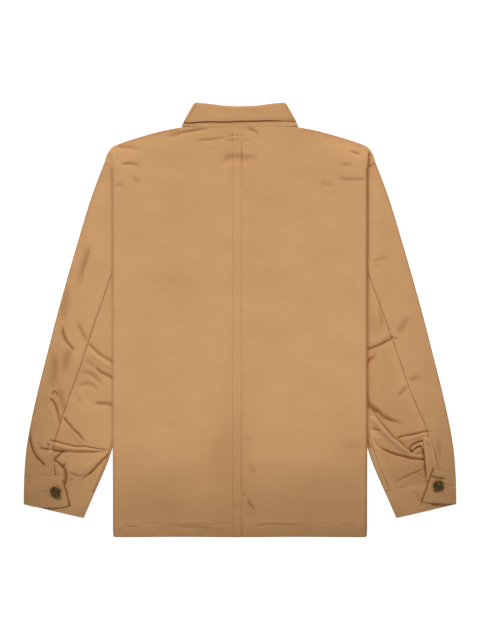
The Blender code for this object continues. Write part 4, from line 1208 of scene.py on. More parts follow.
def cloth_piece(node, points, side, wall, grain=0.0, corner=None):
    """A node's cloth on a grid of points, riding on the jacket's body, with its cut as a UV layer.

    corner is a block of first rows and columns where two turned edges cross and one is cut away.
    """
    rows, columns = points.shape[:2]
    placed = points[..., :3] * np.array([side, 1.0, 1.0])
    form = bmesh.new()
    bmesh.ops.create_grid(form, x_segments=columns - 1, y_segments=rows - 1, size=1.0)
    mesh = mesh_from(form, f"{node}_cloth")
    flat = np.empty(len(mesh.vertices) * 3)
    mesh.vertices.foreach_get("co", flat)
    flat = flat.reshape(-1, 3)
    at_column = np.rint((flat[:, 0] + 1.0) / 2 * (columns - 1)).astype(int)
    at_row = np.rint((flat[:, 1] + 1.0) / 2 * (rows - 1)).astype(int)
    chosen = placed[at_row, at_column] * MM
    mesh.vertices.foreach_set("co", chosen.ravel())
    turn = np.array([[math.cos(grain), math.sin(grain)], [-math.sin(grain), math.cos(grain)]])
    cut = chosen[:, :2] @ turn.T + 1.0
    corners = np.empty(len(mesh.loops), dtype=np.int32)
    mesh.loops.foreach_get("vertex_index", corners)
    layer = mesh.uv_layers.new(name="Cut")
    layer.data.foreach_set("uv", cut[corners].ravel())
    # The shade painted on each point, which the cloth's finish darkens it by.
    painted_shade = mesh.attributes.new("PaintedShade", "FLOAT", "POINT")
    painted_shade.data.foreach_set("value", np.clip(points[at_row, at_column, 3], 0.0, 1.0))
    mesh.update()
    if corner:
        form = bmesh.new()
        form.from_mesh(mesh)
        kept = (at_row >= corner[0]) | (at_column >= corner[1])
        form.faces.ensure_lookup_table()
        spare = [face for face in form.faces if not any(kept[vert.index] for vert in face.verts)]
        bmesh.ops.delete(form, geom=spare, context="FACES")
        form.to_mesh(mesh)
        form.free()
    mesh.shade_smooth()
    made = add_piece(mesh, "camel_cotton", [node])
    shell = made.modifiers.new("Wall", "SOLIDIFY")
    shell.thickness = wall * MM
    shell.offset = 0.0
    soft = made.modifiers.new("Soft edge", "BEVEL")
    soft.width = wall * EDGE_ROUND * MM
    soft.segments = 2
    soft.limit_method = "ANGLE"
    soft.angle_limit = math.radians(55.0)


def body_row_y(row_y, top_y):
    """Rows are level at the hem and follow the shoulder line or neckline at the top."""
    return row_y + (top_y - CORNER_Y) * ramp(row_y, ROWS_FOLLOW_SHOULDER)


def shoulder_share(x):
    """How much of the shoulder seam's bend there is: none at the neck and the outer corner."""
    return ramp(x, SHOULDER_SEAM_START) * (1.0 - ramp(x, SHOULDER_SEAM_END))


def shoulder_bend(row_y):
    """A quarter round down to the shoulder seam over the last rows."""
    share = np.clip((row_y - (CORNER_Y - SHOULDER_BEND)) / SHOULDER_BEND, 0.0, 1.0)
    return 1.0 - np.sqrt(1.0 - share**2)


def tucked_layer(rows, edge, roll_z, turned_z, sign, wall):
    """The roll at the side fold, and the layer that runs back in to the seam inside the body."""
    tuck = read(BODY, "y", rows, "tuck")
    columns = half_turn(edge, rows, -1.0, 0.0, roll_z, turned_z, wall)
    seam_x = edge - tuck
    closed = 1.0 - ramp(rows, ARMHOLE_OPENS)
    back_z = read(BODY, "y", rows, "side") - 2 * SIDE_ROLL
    front_z = GROUND_LAYER + 2 * SIDE_ROLL
    meet_z = (back_z + front_z) / 2 + sign * HALF_SEAM
    run_in = np.minimum(SEAM_RUN_IN, tuck / 3)
    start_x = edge - SIDE_ROLL - wall / 2
    for share in np.linspace(0.0, 1.0, 13)[1:]:
        x = start_x + (seam_x - start_x) * share
        down = np.clip((seam_x + run_in - x) / run_in, 0.0, 1.0)
        z = turned_z + closed * down * down * (3 - 2 * down) * (meet_z - turned_z)
        short = TUCK_SHORT * ramp(rows, TUCK_SHORTENS) * min(1.0, 4.0 * share)
        columns.append(stack(x, rows - short, z))
    return np.stack(columns, axis=1)


def tip_drop(x, y):
    """The shoulder tip beyond the side fold lies lower than the back that laps over it."""
    beyond = ramp(x - read(TIP_FOLD, "y", y, "x"), TIP_BEYOND)
    return TIP_DROP * beyond * ramp(y, TIP_STARTS) * (1 - ramp(y, TIP_ENDS))


def hump(distance, half_width):
    """1 on a line, falling off smoothly on both sides of it."""
    return np.exp(-((distance / half_width) ** 2))


def mound(x, y, at):
    """1 in the middle of a mound, falling off smoothly all round."""
    return np.exp(-(((x - at.x) / at.across) ** 2 + ((y - at.y) / at.along) ** 2))


def shade_line(distance, half_width, depth):
    """How much shade is painted on places along a seam or an edge, falling off across it."""
    return depth * hump(distance, half_width)


def back_painted_shade(side, x, y):
    """Shade painted on the back along its side fold, its hem and its centre seam."""
    broken = 0.6 + 0.4 * soft_noise(x, y, 9.0, BROKEN_SEED)
    hollow = shade_line(y - HEM_LINE, *HEM_SHADE) * broken
    hollow = hollow + shade_line(y - HEM_Y, *HEM_EDGE_SHADE)
    # A little painted shade over the whole hem band.
    hollow = hollow + 0.10 * (1 - ramp(y, Span(HEM_LINE - 3.0, HEM_LINE + 1.0)))
    fold = shade_line(x - SIDE_START - 0.6, *SIDE_FOLD_SHADES[side])
    hollow = hollow + fold * (1 - ramp(y, Span(262.0, 275.0)))
    if side < 0:
        for distance in LAP_ROWS:
            hollow = hollow + shade_line(x + LAP_EDGE - distance, *STITCH_SHADE) * broken
        return hollow + shade_line(x - LAP_TURN + LAP_EDGE, *LAP_TURN_SHADE)
    # Painted shade along the lap's edge, darker where the lap stands open.
    open_lap = ramp(y, Span(270.0, 276.0)) * (1 - ramp(y, Span(294.0, 302.0)))
    open_lap = open_lap + ramp(-y, Span(262.0, 280.0)) * (1 - ramp(-y, Span(296.0, 310.0)))
    return hollow + shade_line(x - LAP_EDGE - 0.3, 0.9, 0.20 + 0.5 * open_lap)


def body_swell(side, x, y):
    """The lower back stands proud beside the centre seam, and sinks to the hem and in valleys; the
    second value is shade painted in the valleys by their depth.
    """
    swell = BACK_SWELL.size * hump(x - BACK_SWELL.x, BACK_SWELL.across)
    swell = swell * hump(y - BACK_SWELL.y, BACK_SWELL.along)
    sunk = sum(valley.size * mound(x, y, valley) for valley in BACK_VALLEYS[side])
    return swell - sunk, sunk / VALLEY_SHADE


def seam_groove(distance, depth=0.32, half_width=1.5):
    """A row of stitches draws the cloth in along its line."""
    return -depth * hump(distance, half_width)


def pucker(x, y, seed, size=7.0):
    """Short ripples across a seam, uneven along it."""
    return soft_noise(x * 0.35, y, size, seed) + 0.5 * soft_noise(x * 0.5, y, size / 2, seed + 1)


def body_grid(rows, lines, edge, stretch, wall):
    """Places of a body panel's grid in plan: its lines stretched to the side fold, level rows."""
    scale = (edge - SIDE_ROLL - wall / 2) / SIDE_START
    x = lines[None, :] * (1 + (scale[:, None] - 1) * ramp(lines, stretch)[None, :])
    return x, rows[:, None] + 0 * x


def turned_panel(panel, turned, rows, lines, inside, turned_to):
    """A body panel with its side folded under, its hem turned, and its middle edge if it has one.

    The second value is the corner to cut away where the two turned edges cross.
    """
    turning = thickness("turning")
    points = np.concatenate([panel[:, :-1], turned], axis=1)
    hem_rows = int(np.searchsorted(rows, HEM_Y + HEM_DEPTH))
    points = turn_edge(points, inside, turning, hem_rows)
    if turned_to is None:
        return points, None
    columns = int(np.searchsorted(lines, turned_to))
    return turn_columns(points, inside, turning, columns), (hem_rows + 1, columns + 3)


def back_form(side, x, row_y):
    """The back's height without folds: over the button bands, the sleeves and the other back."""
    centre, middle, flank = [read(BODY, "y", row_y, name) for name in ("centre", "middle", "side")]
    z = centre + (middle - centre) * ramp(np.abs(x), BACK_OFF_BANDS)
    z = z + (flank - middle) * ramp(np.abs(x), BACK_ONTO_SLEEVE)
    if side < 0:
        return z + LAP_RISE * (1 - ramp(x, BACK_OFF_LAP))
    z = z - UNDER_LAP_SINK + UNDER_LAP_RISE * ramp(x, UNDER_LAP_ENDS)
    return z - UNDER_LAP_FALL * ramp(x, UNDER_LAP_EASES)


def back_folds(side, x, y):
    """The back's folds and ripples as a rise, and how deep each place lies in a crease."""
    hem_top = HEM_Y + HEM_DEPTH
    lift, hollow = fold_lift(BACK_FOLDS[side], x, y)
    lift = lift * bpy.context.scene.jacket_cloth.fold_strength
    lift = lift + unevenness(x, y, BODY_UNEVEN, BACK_SEEDS[side])
    over_hem = hump(y - hem_top + 4.0, 8.0) * pucker(y * 1.5, x, HEM_RIPPLE_SEED, 9.0)
    over_hem = over_hem * (0.55 * ramp(-side * x, Span(-40.0, 60.0)) + 0.25)
    beside_seam = hump(x - 4.0, 11.0) * 0.30 * pucker(x * side, y, SEAM_RIPPLE_SEED)
    at_neck = mound(x, y, NECK_RIPPLES) * NECK_RIPPLES.size
    at_neck = at_neck * pucker(x * side, y, NECK_RIPPLE_SEED, 5.0)
    off_roll = 1 - ramp(x, Span(214.0, 221.0)) * (1 - ramp(y, Span(262.0, 270.0)))
    return (lift + over_hem) * off_roll, beside_seam, at_neck, hollow


def back_points(side):
    """The back panel, from its turned lap or seam edge round the side fold to its inner seam."""
    wall = thickness("wall")
    rows = spread(BACK_ROWS)
    lines = spread(BACK_LINES[side])
    edge = read(BODY, "y", rows, "edge")
    x, row_y = body_grid(rows, lines, edge, BACK_STRETCH, wall)
    out = np.abs(x)
    shoulder_y = read(SHOULDER, "x", out, "y")
    y = body_row_y(row_y, shoulder_y)
    swell, valleys = body_swell(side, x, y)
    z = back_form(side, x, row_y) - tip_drop(x, y) - SIDE_SINK * ramp(x, SIDE_SINKS) + swell
    lift, beside_seam, at_neck, hollow = back_folds(side, x, y)
    hem_top = HEM_Y + HEM_DEPTH
    hem_layer = FELL_RISE * (1 - ramp(y, Span(hem_top - 1.5, hem_top + 1.5)))
    z = z + lift + beside_seam + at_neck + hem_layer + seam_groove(y - hem_top - 0.6)
    if side < 0:
        for distance in LAP_ROWS:
            z = z + seam_groove(x + LAP_EDGE - distance)
    bend = shoulder_bend(row_y) * shoulder_share(out)
    z = z - bend * (z - (SHOULDER_SEAM_Z + HALF_SEAM))
    # Painted shade: the folds', the valleys', the seams' and edges', and the shoulder edge's where it
    # turns away from the light.
    hollow = hollow * BODY_FOLD_SHADE + valleys + back_painted_shade(side, x, y)
    below_shoulder = np.maximum(shoulder_y - y, 0.0)
    turned_away = np.exp(-((below_shoulder / 4.0) ** 1.5)) * shoulder_share(out)
    panel = stack(x, y, z, hollow + SHOULDER_SHADE * turned_away)
    roll_z = z[:, -1]
    turned_z = np.minimum(read(BODY, "y", rows, "side") - 2 * SIDE_ROLL, roll_z - 1.3 * wall)
    turned = tucked_layer(rows, edge, roll_z, turned_z, 1, wall)
    turned[..., 3] = panel[:, -1:, 3]
    turned_to = LAP_TURN - LAP_EDGE if side < 0 else None
    return turned_panel(panel, turned, rows, lines, -1, turned_to)


def front_points(side):
    """The front panel, from its turned buttoned edge round the side fold to its inner seam."""
    wall = thickness("wall")
    rows = spread(FRONT_ROWS)
    lines = spread(FRONT_LINES)
    edge = read(BODY, "y", rows, "edge") - FRONT_INSET
    x, row_y = body_grid(rows, lines, edge, FRONT_STRETCH, wall)
    out = np.abs(x)
    neck = read(FRONT_NECK, "x", out, "y")
    inset = FRONT_INSET * (1 - ramp(out, Span(200.0, SIDE_START)))
    shoulder = read(SHOULDER, "x", out, "y") - inset
    top_y = np.where(out <= FRONT_NECK[-1].x, neck, shoulder)
    y = body_row_y(row_y, top_y)
    over_buttons = BAND_LIFTS[side] * (1 - ramp(out, FRONT_OFF_BUTTONS))
    over_collar = COLLAR_LIFT * ramp(y, FRONT_ONTO_COLLAR) * (1 - ramp(out, FRONT_OFF_COLLAR))
    z = GROUND_LAYER + np.maximum(over_buttons, over_collar)
    off_roll = (1 - ramp(x, Span(206.0, 218.0))) * ramp(out, Span(70.0, 84.0))
    lift = np.maximum(0.0, fold_lift(FRONT_FOLDS, x, y)[0])
    z = z + lift * bpy.context.scene.jacket_cloth.fold_strength * off_roll
    bend = shoulder_bend(row_y) * shoulder_share(out)
    z = z + bend * (SHOULDER_SEAM_Z - HALF_SEAM - z)
    turned_z = z[:, -1] + 2 * SIDE_ROLL
    turned = tucked_layer(rows, edge, z[:, -1], turned_z, -1, wall)
    turned_to = FRONT_EDGE_TURN + FRONT_LINES[0].place
    return turned_panel(stack(x, y, z), turned, rows, lines, 1, turned_to)


def sleeve_place(share, across):
    """A place on the sleeve in plan: share along it from the cuff, across it from outside."""
    curve = ramp(share, ARMHOLE_CURVE)
    place = []
    for axis, arm in zip("xy", along(ARMHOLE, across)):
        first, last = f"outer_{axis}", f"inner_{axis}"
        outer, inner = between(SLEEVE, share, first), between(SLEEVE, share, last)
        end, other_end = getattr(SLEEVE[-1], first), getattr(SLEEVE[-1], last)
        hollow = arm - (end + (other_end - end) * across)
        place.append(outer + (inner - outer) * across + hollow * curve)
    return place[0], place[1]


def sleeve_lower(share, across):
    """The lower layer: on the ground outside the body, over the front's tucked side inside it."""
    x, y = sleeve_place(share, across)
    out = x - read(BODY, "y", y, "edge")
    z = GROUND_LAYER + (SLEEVE_UNDER_BODY - GROUND_LAYER) * (1 - ramp(out, SLEEVE_OFF_BODY))
    return x, y, z


def sleeve_width(share):
    """The sleeve's flat width at a share of its length."""
    outer = sleeve_place(share, 0.0)
    inner = sleeve_place(share, 1.0)
    return np.hypot(inner[0] - outer[0], inner[1] - outer[1])


def sleeve_upper(side, share, across):
    """The upper layer, with its loft and folds, and the shade painted on it as a fourth value."""
    x, y, ground = sleeve_lower(share, across)
    out = x - read(BODY, "y", y, "edge")
    bulge = np.sin(math.pi * np.clip(across, 0.0, 1.0))
    loft = SLEEVE_LOFT * ramp(out, LOFT_OUTSIDE_BODY) * bulge * ramp(share, LOFT_FROM_CUFF)
    off_edge = ramp(np.minimum(across, 1 - across) * sleeve_width(share), FOLDS_OFF_EDGE)
    lift, hollow = fold_lift(SLEEVE_FOLDS[side], x, y)
    lift = lift * bpy.context.scene.jacket_cloth.fold_strength
    lift = lift + unevenness(x, y, SLEEVE_UNEVEN, SLEEVE_SEEDS[side])
    rise = np.maximum(lift, 0.0) * ramp(out, FOLDS_OFF_BODY)
    lift = (rise + np.minimum(lift, 0.0)) * off_edge
    low = ground + LEAST_SLEEVE_ROOM
    z = ground + SLEEVE_PAIR + loft + lift
    z = low + np.logaddexp(0.0, (z - low) * SLEEVE_EASE) / SLEEVE_EASE
    # Painted shade on the sleeve beside the body's edge, stronger on the right and above the
    # underarm.
    shade_beside_body = shade_line(np.maximum(out, 0.0), *BESIDE_BODY_SHADES[side])
    shade_beside_body = shade_beside_body * (0.85 + 0.4 * ramp(y, Span(30.0, 80.0)))
    return x, y, z, hollow * ramp(off_edge, Span(0.0, 0.5)) + shade_beside_body


def seam_share(side, share):
    """Where the back seam crosses the sleeve, as a share of its width."""
    return between(SLEEVE, share, "seam_left" if side < 0 else "seam_right")


def fell(distance):
    """A felled edge: thicker by a turning, with two rows of stitches drawn in."""
    rise = FELL_RISE * (1 - ramp(distance, FELL_ENDS))
    return rise + sum(seam_groove(distance - row, 0.26, 1.1) for row in FELL_ROWS)


def sleeve_ripple(side, across, y, distance, reach):
    """Short ripples beside a sleeve's seam, dying out over a reach."""
    return 0.22 * pucker(0 * y + across, y, SLEEVE_RIPPLE_SEED + side) * np.exp(-distance / reach)


def inward_on_section(share, across, toward):
    """Unit direction in plan from one place on a section toward another."""
    x, y = sleeve_place(share, across)
    to_x, to_y = sleeve_place(share, toward)
    length = np.hypot(to_x - x, to_y - y)
    return (to_x - x) / length, (to_y - y) / length


def into_cuff(points):
    """A sleeve with its end run on a little inside its cuff, drawn in from the cuff's folds, with
    shade painted on the run-on end.
    """
    centre = np.array(sleeve_place(0.0, 0.5))
    away = unit(points[0] - points[3])[:, :2]
    rows = []
    for reach, drawn in ((4.0, 1.0), (2.2, 1.0), (0.7, 0.6)):
        row = points[0].copy()
        row[:, :2] = centre + (row[:, :2] - centre) * (1 - 0.038 * drawn) + away * reach
        between_layers = np.clip((row[:, 2] - GROUND_LAYER) / SLEEVE_PAIR, 0.0, 1.1)
        row[:, 2] += (CUFF_INSIDE.start + between_layers * CUFF_INSIDE.end - row[:, 2]) * drawn
        row[:, 3] += CUFF_END_SHADE
        rows.append(row)
    return np.concatenate([np.array(rows), points])


def top_sleeve_points(side):
    """The top sleeve: from the back seam round the outer edge, below, and round the inner edge."""
    wall = thickness("wall")
    share = spread(SLEEVE_SHARES)
    width = sleeve_width(share)
    roll = SLEEVE_PAIR / 2 / width
    seam = seam_share(side, share) - SLANTED_SEAM_GAP / 2 / width
    near = np.linspace(0.0, 11.0, 13)
    columns = []
    for distance in near:
        x, y, z, hollow = sleeve_upper(side, share, seam - distance / width)
        # Painted shade along the felled seam's two stitch rows.
        hollow = hollow + sum(shade_line(distance - row, *STITCH_SHADE) for row in FELL_ROWS)
        z = z + fell(distance) + sleeve_ripple(side, distance, y, distance, 9.0)
        columns.append(stack(x, y, z, hollow))
    start = seam - near[-1] / width
    for part in np.linspace(0.0, 1.0, 42)[1:-1]:
        columns.append(stack(*sleeve_upper(side, share, start + (roll - start) * part)))
    upper_z = sleeve_upper(side, share, roll)[2]
    lower_z = sleeve_lower(share, roll)[2]
    inward = inward_on_section(share, 0.0, 0.06)
    columns += half_turn(*sleeve_place(share, 0.0), *inward, upper_z, lower_z, wall)
    for part in np.linspace(0.0, 1.0, 24)[1:-1]:
        across = roll + (1 - 2 * roll) * part
        x, y, z = sleeve_lower(share, across)
        rise = np.maximum(0.0, fold_lift(SLEEVE_LOWER_FOLDS, x, y)[0])
        rise = rise * ramp(x - read(BODY, "y", y, "edge"), Span(20.0, 40.0))
        rise = rise * ramp(np.minimum(across, 1 - across) * width, Span(4.0, 16.0))
        columns.append(stack(x, y, z + 0.5 * rise))
    lower_z = sleeve_lower(share, 1 - roll)[2]
    upper_z = sleeve_upper(side, share, 1 - roll)[2]
    inward = inward_on_section(share, 1.0, 0.94)
    columns += half_turn(*sleeve_place(share, 1.0), *inward, lower_z, upper_z, wall)
    inner = INNER_SEAM[side]
    for distance in np.linspace(SLEEVE_PAIR / 2, inner, 8)[1:]:
        x, y, z, hollow = sleeve_upper(side, share, 1 - distance / width)
        z = z + fell(inner - distance) * (distance / inner)
        columns.append(stack(x, y, z, hollow))
    return turn_columns(into_cuff(np.stack(columns, axis=1)), 1, thickness("turning"), 8)


def under_sleeve_points(side):
    """The under sleeve: on the upper side, between the back seam and the inner seam."""
    share = spread(SLEEVE_SHARES)
    width = sleeve_width(share)
    start = seam_share(side, share) + SLANTED_SEAM_GAP / 2 / width
    turned = ramp(share, SEAM_TURNS_WITH_ARMHOLE)
    gap = SLANTED_SEAM_GAP + (UNDERARM_SEAM_GAP - SLANTED_SEAM_GAP) * turned
    end = 1 - (INNER_SEAM[side] + gap) / width
    length = (end - start) * width
    edges = [0.0, 0.8, 1.7, 2.8, 4.2]
    inner = 50
    distances = [edge + 0 * length for edge in edges]
    for k in range(inner):
        part = (k + 1) / (inner + 1)
        distances.append(edges[-1] + (length - 2 * edges[-1]) * part)
    distances += [length - edge for edge in reversed(edges)]
    columns = []
    for distance in distances:
        x, y, z, hollow = sleeve_upper(side, share, start + distance / width)
        near_edge = np.minimum(distance, length - distance)
        sink = -0.30 * (1 - ramp(near_edge, Span(0.4, 3.0)))
        ripple = sleeve_ripple(side, 0.0, y, near_edge, 7.0)
        # Painted shade along both seam edges, and over the middle of the right under sleeve.
        hollow = hollow + shade_line(near_edge, *BACK_SEAM_SHADES[side])
        hollow = hollow + UNDER_SLEEVE_SHADE[side] * ramp(near_edge, Span(2.0, 22.0))
        columns.append(stack(x, y, z + sink + ripple, hollow))
    return into_cuff(np.stack(columns, axis=1))


def place_in_sleeve(x, y):
    """The shares along and across the sleeve of places in plan, by halving."""
    low, high = np.zeros(np.shape(x)), np.ones(np.shape(x))
    for _ in range(30):
        share = (low + high) / 2
        outer_x, outer_y = sleeve_place(share, 0.0)
        inner_x, inner_y = sleeve_place(share, 1.0)
        run_x, run_y = inner_x - outer_x, inner_y - outer_y
        beyond = run_x * (y - outer_y) - run_y * (x - outer_x) > 0
        high = np.where(beyond, share, high)
        low = np.where(beyond, low, share)
    share = (low + high) / 2
    across = ((x - outer_x) * run_x + (y - outer_y) * run_y) / (run_x**2 + run_y**2)
    return share, across


def binding_points(side):
    """The folded strip that finishes the sleeve opening, lying on the sleeve, with the cuff folds'
    painted shade lines on it.
    """
    strip = VENTS[side]
    lengthwise = np.linspace(0.0, 1.0, 34)[:, None]
    across_strip = np.linspace(-0.5, 0.5, 11)[None, :]
    offset = across_strip * strip.width + strip.flare * lengthwise * (across_strip + 0.5)
    x = strip.up_x + (strip.low_x - strip.up_x) * lengthwise + offset
    y = strip.up_y + (strip.low_y - strip.up_y) * lengthwise + 0 * offset
    z = sleeve_upper(side, *place_in_sleeve(x, y))[2]
    smoothed = (z + np.roll(z, 1, axis=1) + np.roll(z, -1, axis=1)).mean(axis=1, keepdims=True) / 3
    edge_drop = BINDING_EDGE_DROP * (2 * np.abs(across_strip)) ** 4
    z = np.maximum(z, smoothed) + BINDING_RISE - edge_drop
    points = stack(x, y, z, fold_lift(CUFF_FOLDS[side], x, y)[1])
    points = turn_columns(points, -1, thickness("turning"), 4)
    return turn_columns(points[:, ::-1], 1, thickness("turning"), 4)[:, ::-1]


def cuff_sections(rows, place):
    """Both edges and the heights of a run of cuff sections, at places along it."""
    index = np.arange(len(rows))
    return [np.interp(place, index, column(rows, name)) for name in CuffRow._fields]


def cuff_columns(sections, down, corner=None, radius=0.0):
    """Columns down a run of cuff sections, with round corners if it ends at a corner."""
    columns = []
    for up_x, up_y, low_x, low_y, height in zip(*sections):
        length = math.hypot(low_x - up_x, low_y - up_y)
        inset = 0.0
        if corner:
            short = max(0.0, radius - math.hypot(low_x - corner.low_x, low_y - corner.low_y))
            inset = radius - math.sqrt(max(0.0, radius**2 - short**2))
        share = (inset + (length - 2 * inset) * down) / length
        columns.append(stack(up_x + (low_x - up_x) * share, up_y + (low_y - up_y) * share, height))
    return columns


def cuff_fold(row, down, inward, start_z, end_z, wall):
    """Columns round one of a cuff's two folds."""
    x = row.up_x + (row.low_x - row.up_x) * down
    y = row.up_y + (row.low_y - row.up_y) * down
    return half_turn(x, y, *inward, start_z, end_z, wall)


def cuff_points(side):
    """A cuff, from its buttoned end round the wrist to its under end, rows from seam to edge."""
    wall = thickness("firm_wall")
    end = CUFF_OVER[side][0]
    down = np.linspace(0.0, 1.0, 27)
    inward = np.array(CUFF_INWARD) / math.hypot(*CUFF_INWARD)
    over, below, under = [
        cuff_sections(run, np.linspace(0.0, len(run) - 1.0, count))
        for run, count in ((CUFF_OVER[side], 42), (CUFF_BELOW, 26), (CUFF_UNDER[side], 30))
    ]
    near_end = np.linspace(0.0, 1.0, 6)[1:-1] ** 2
    over = [
        np.concatenate([row[:1], row[:1] + (row[1:2] - row[:1]) * near_end, row[1:]])
        for row in over
    ]
    columns = cuff_columns(over, down, end, CUFF_END_ROUND[side])
    columns += cuff_fold(CUFF_OUTER, down, inward, over[-1][-1], CUFF_GROUND, wall)
    columns += cuff_columns(below, down)
    columns += cuff_fold(CUFF_INNER, down, -inward, CUFF_GROUND, CUFF_UNDER_END, wall)
    under_start = len(columns)
    points = np.stack(columns + cuff_columns(under, down), axis=1)
    x, y, z = points[..., 0], points[..., 1], points[..., 2]
    upper = z > CUFF_UNDER_END - 0.4
    lift, hollow = fold_lift(CUFF_FOLDS[side], x, y)
    lift = lift * bpy.context.scene.jacket_cloth.fold_strength
    lift = lift + unevenness(x, y, CUFF_UNEVEN, CUFF_SEED + side)
    under_part = np.arange(points.shape[1])[None, :] >= under_start
    hidden = under_part & (x > end.low_x)
    z = z + np.where(upper & ~hidden, lift, 0.0)
    droop = CUFF_DROOP + OUTER_CUFF_DROOP * ramp(x, Span(345.0, 376.0))
    droop = ramp(down, Span(0.45, 1.0))[:, None] * droop
    z = z - np.where(upper & ~under_part, droop, 0.0)
    button = BUTTON_PLACES[side]
    # Painted shade round the button, along the cuff's edge and in its folds' troughs, on its upper
    # layers.
    beside = np.maximum(np.hypot(x - button.x, y - button.y) - BUTTON_RADIUS + 1.0, 0.0)
    edge = (y - y[-1:]) * ~under_part
    hollow = hollow + shade_line(beside, *BUTTON_SHADE) + shade_line(edge - 3.0, *CUFF_EDGE_SHADE)
    return stack(x, y, z, hollow * upper)


def fall_points(wall):
    """The collar's fall, and the line of its free edge on the back.

    It droops to that edge, more at its ends, and the edge slants and is a little uneven.
    """
    points = collar_points(fall_columns, fall_heights(), wall)
    x, y = points[..., 0], points[..., 1]
    on_back = points[..., 2] > FALL_TOP - 1.0
    rows = np.arange(len(points))[:, None] / (len(points) - 1)
    droop_seed, uneven_seed, slant_seed = FALL_SEEDS
    lift = -0.6 - 0.7 * ramp(x, Span(56.0, 80.0)) - 0.5 * ramp(-x, Span(84.0, 98.0))
    lift = lift * ramp(rows, Span(0.6, 1.0)) * (1 + 0.3 * soft_noise(x, y * 0, 26.0, droop_seed))
    points[..., 2] += np.where(on_back, lift + 0.18 * soft_noise(x, y, 16.0, uneven_seed), 0.0)
    slant = 0.5 * soft_noise(x, y * 0, 30.0, slant_seed) - 1.6 + 2.4 * ramp(x, Span(-96.0, 50.0))
    points[..., 1] += np.where(on_back, slant * rows**2, 0.0)
    # A little shade painted over the whole fall.
    points[..., 3] += FALL_SHADE
    return points, points[-1, on_back[-1], :2].T


def stand_points(wall, fall_edge):
    """The collar's stand, with shade painted below the fall's edge and along its stitch row."""
    points = collar_points(stand_columns, stand_heights(), wall)
    below = np.interp(points[..., 0], *fall_edge) - points[..., 1]
    shaded = shade_line(np.maximum(below, 0.0), *BELOW_FALL_SHADE)
    shaded = shaded + shade_line(below - STAND_ROW, *STAND_ROW_SHADE)
    shaded = shaded * (1 - ramp(points[..., 0], Span(58.0, 80.0)))
    points[..., 3] = np.where(points[..., 2] > STAND_TOP - 2.0, shaded, 0.0)
    return points


def collar_points(columns, heights, wall):
    """Rows across the collar, columns from its left front end round the back to the right one."""
    turn = columns(COLLAR_CREASE)
    share = np.linspace(0.0, 1.0, 40)
    sections = []
    for k, (top_z, ground_z) in enumerate(heights):
        back = np.array([columns(row)[k] for row in COLLAR_BACK + [COLLAR_CREASE]])
        front = np.array([columns(row)[k] for row in COLLAR_FRONT])
        inward = direction(back[-2] - back[-1])
        fold = half_turn(turn[k][0], turn[k][1], *inward, top_z, ground_z, wall)
        fold = np.array(fold).reshape(-1, 4)
        back_line = smooth(back, share)
        ready = stack(back_line[:, 0], back_line[:, 1], top_z, 0.0 if k else ROLL_SHADE)
        keep = ready[:, 0] < fold[0, 0] - 0.6
        front_line = smooth(np.concatenate([fold[-1:, :2], front]), share)
        under = stack(front_line[:, 0], front_line[:, 1], ground_z)
        half = np.concatenate([resample(ready[keep], 34), fold, resample(under[1:], 60)])
        mirrored = half[1:][::-1] * np.array([-1.0, 1.0, 1.0, 1.0])
        sections.append(np.concatenate([mirrored, half]))
    return np.array(sections)


def resample(points, count):
    """The same line with evenly spaced points."""
    lengths = np.linalg.norm(np.diff(points[:, :3], axis=0), axis=1)
    place = np.concatenate([[0.0], np.cumsum(lengths)])
    wanted = np.linspace(0.0, place[-1], count)
    columns = [np.interp(wanted, place, points[:, k]) for k in range(points.shape[1])]
    return np.stack(columns, axis=1)


def fall_columns(row):
    """The fall in plan, from the roll line, where it turns down, to its free edge."""
    roll = np.array([row.roll_x, row.roll_y])
    edge = np.array([row.edge_x, row.edge_y])
    down = direction(edge - roll)
    lines = [roll + down * inset for inset, _ in FALL_STEPS]
    lines += [roll + (edge - roll) * share for share in FALL_SHARES]
    if row == COLLAR_CREASE:
        for line in lines:
            short = max(0.0, FALL_CORNER - np.hypot(*(line - roll)))
            line[0] -= FALL_CORNER - math.sqrt(FALL_CORNER**2 - short**2)
    return lines


def fall_heights():
    """The fall's heights on the back and the front, turned towards the stand at the roll line."""
    turned = [(FALL_TOP - bend, FALL_GROUND + bend) for _, bend in FALL_STEPS]
    return turned + [(FALL_TOP, FALL_GROUND)] * len(FALL_SHARES)


def stand_columns(row):
    """The stand in plan, from under the roll line to the neck seam."""
    roll = np.array([row.roll_x, row.roll_y])
    seam = np.array([row.seam_x, row.seam_y])
    down = direction(seam - roll)
    top = roll + down * STAND_INSET
    if row == COLLAR_CREASE:
        top = top - np.array([STAND_CREASE_INSET, STAND_CREASE_DROP])
        seam = seam - np.array([STAND_SEAM_INSET, 0.0])
    lines = [top + (seam - top) * share for share in STAND_SHARES]
    if row == COLLAR_CREASE:
        for share, line in zip(STAND_SHARES, lines):
            line[0] += STAND_FLARE * ramp(share, Span(0.66, 0.86))
    return lines + [seam + down * reach for reach, _ in STAND_STEPS]


def stand_heights():
    """The stand's heights on the back and the front; past its seam it dips inside the body."""
    level = [(STAND_TOP, STAND_GROUND)] * len(STAND_SHARES)
    return level + [(STAND_TOP - dip, STAND_GROUND + dip) for _, dip in STAND_STEPS]


# ---------------------------------------------------------------------------------------------
# Stitches and buttons
# ---------------------------------------------------------------------------------------------


def surface_of(node):
    """A search tree of the surface of a node's finished cloth."""
    depsgraph = bpy.context.evaluated_depsgraph_get()
    return BVHTree.FromObject(bpy.data.objects[f"{node}_cloth"], depsgraph)


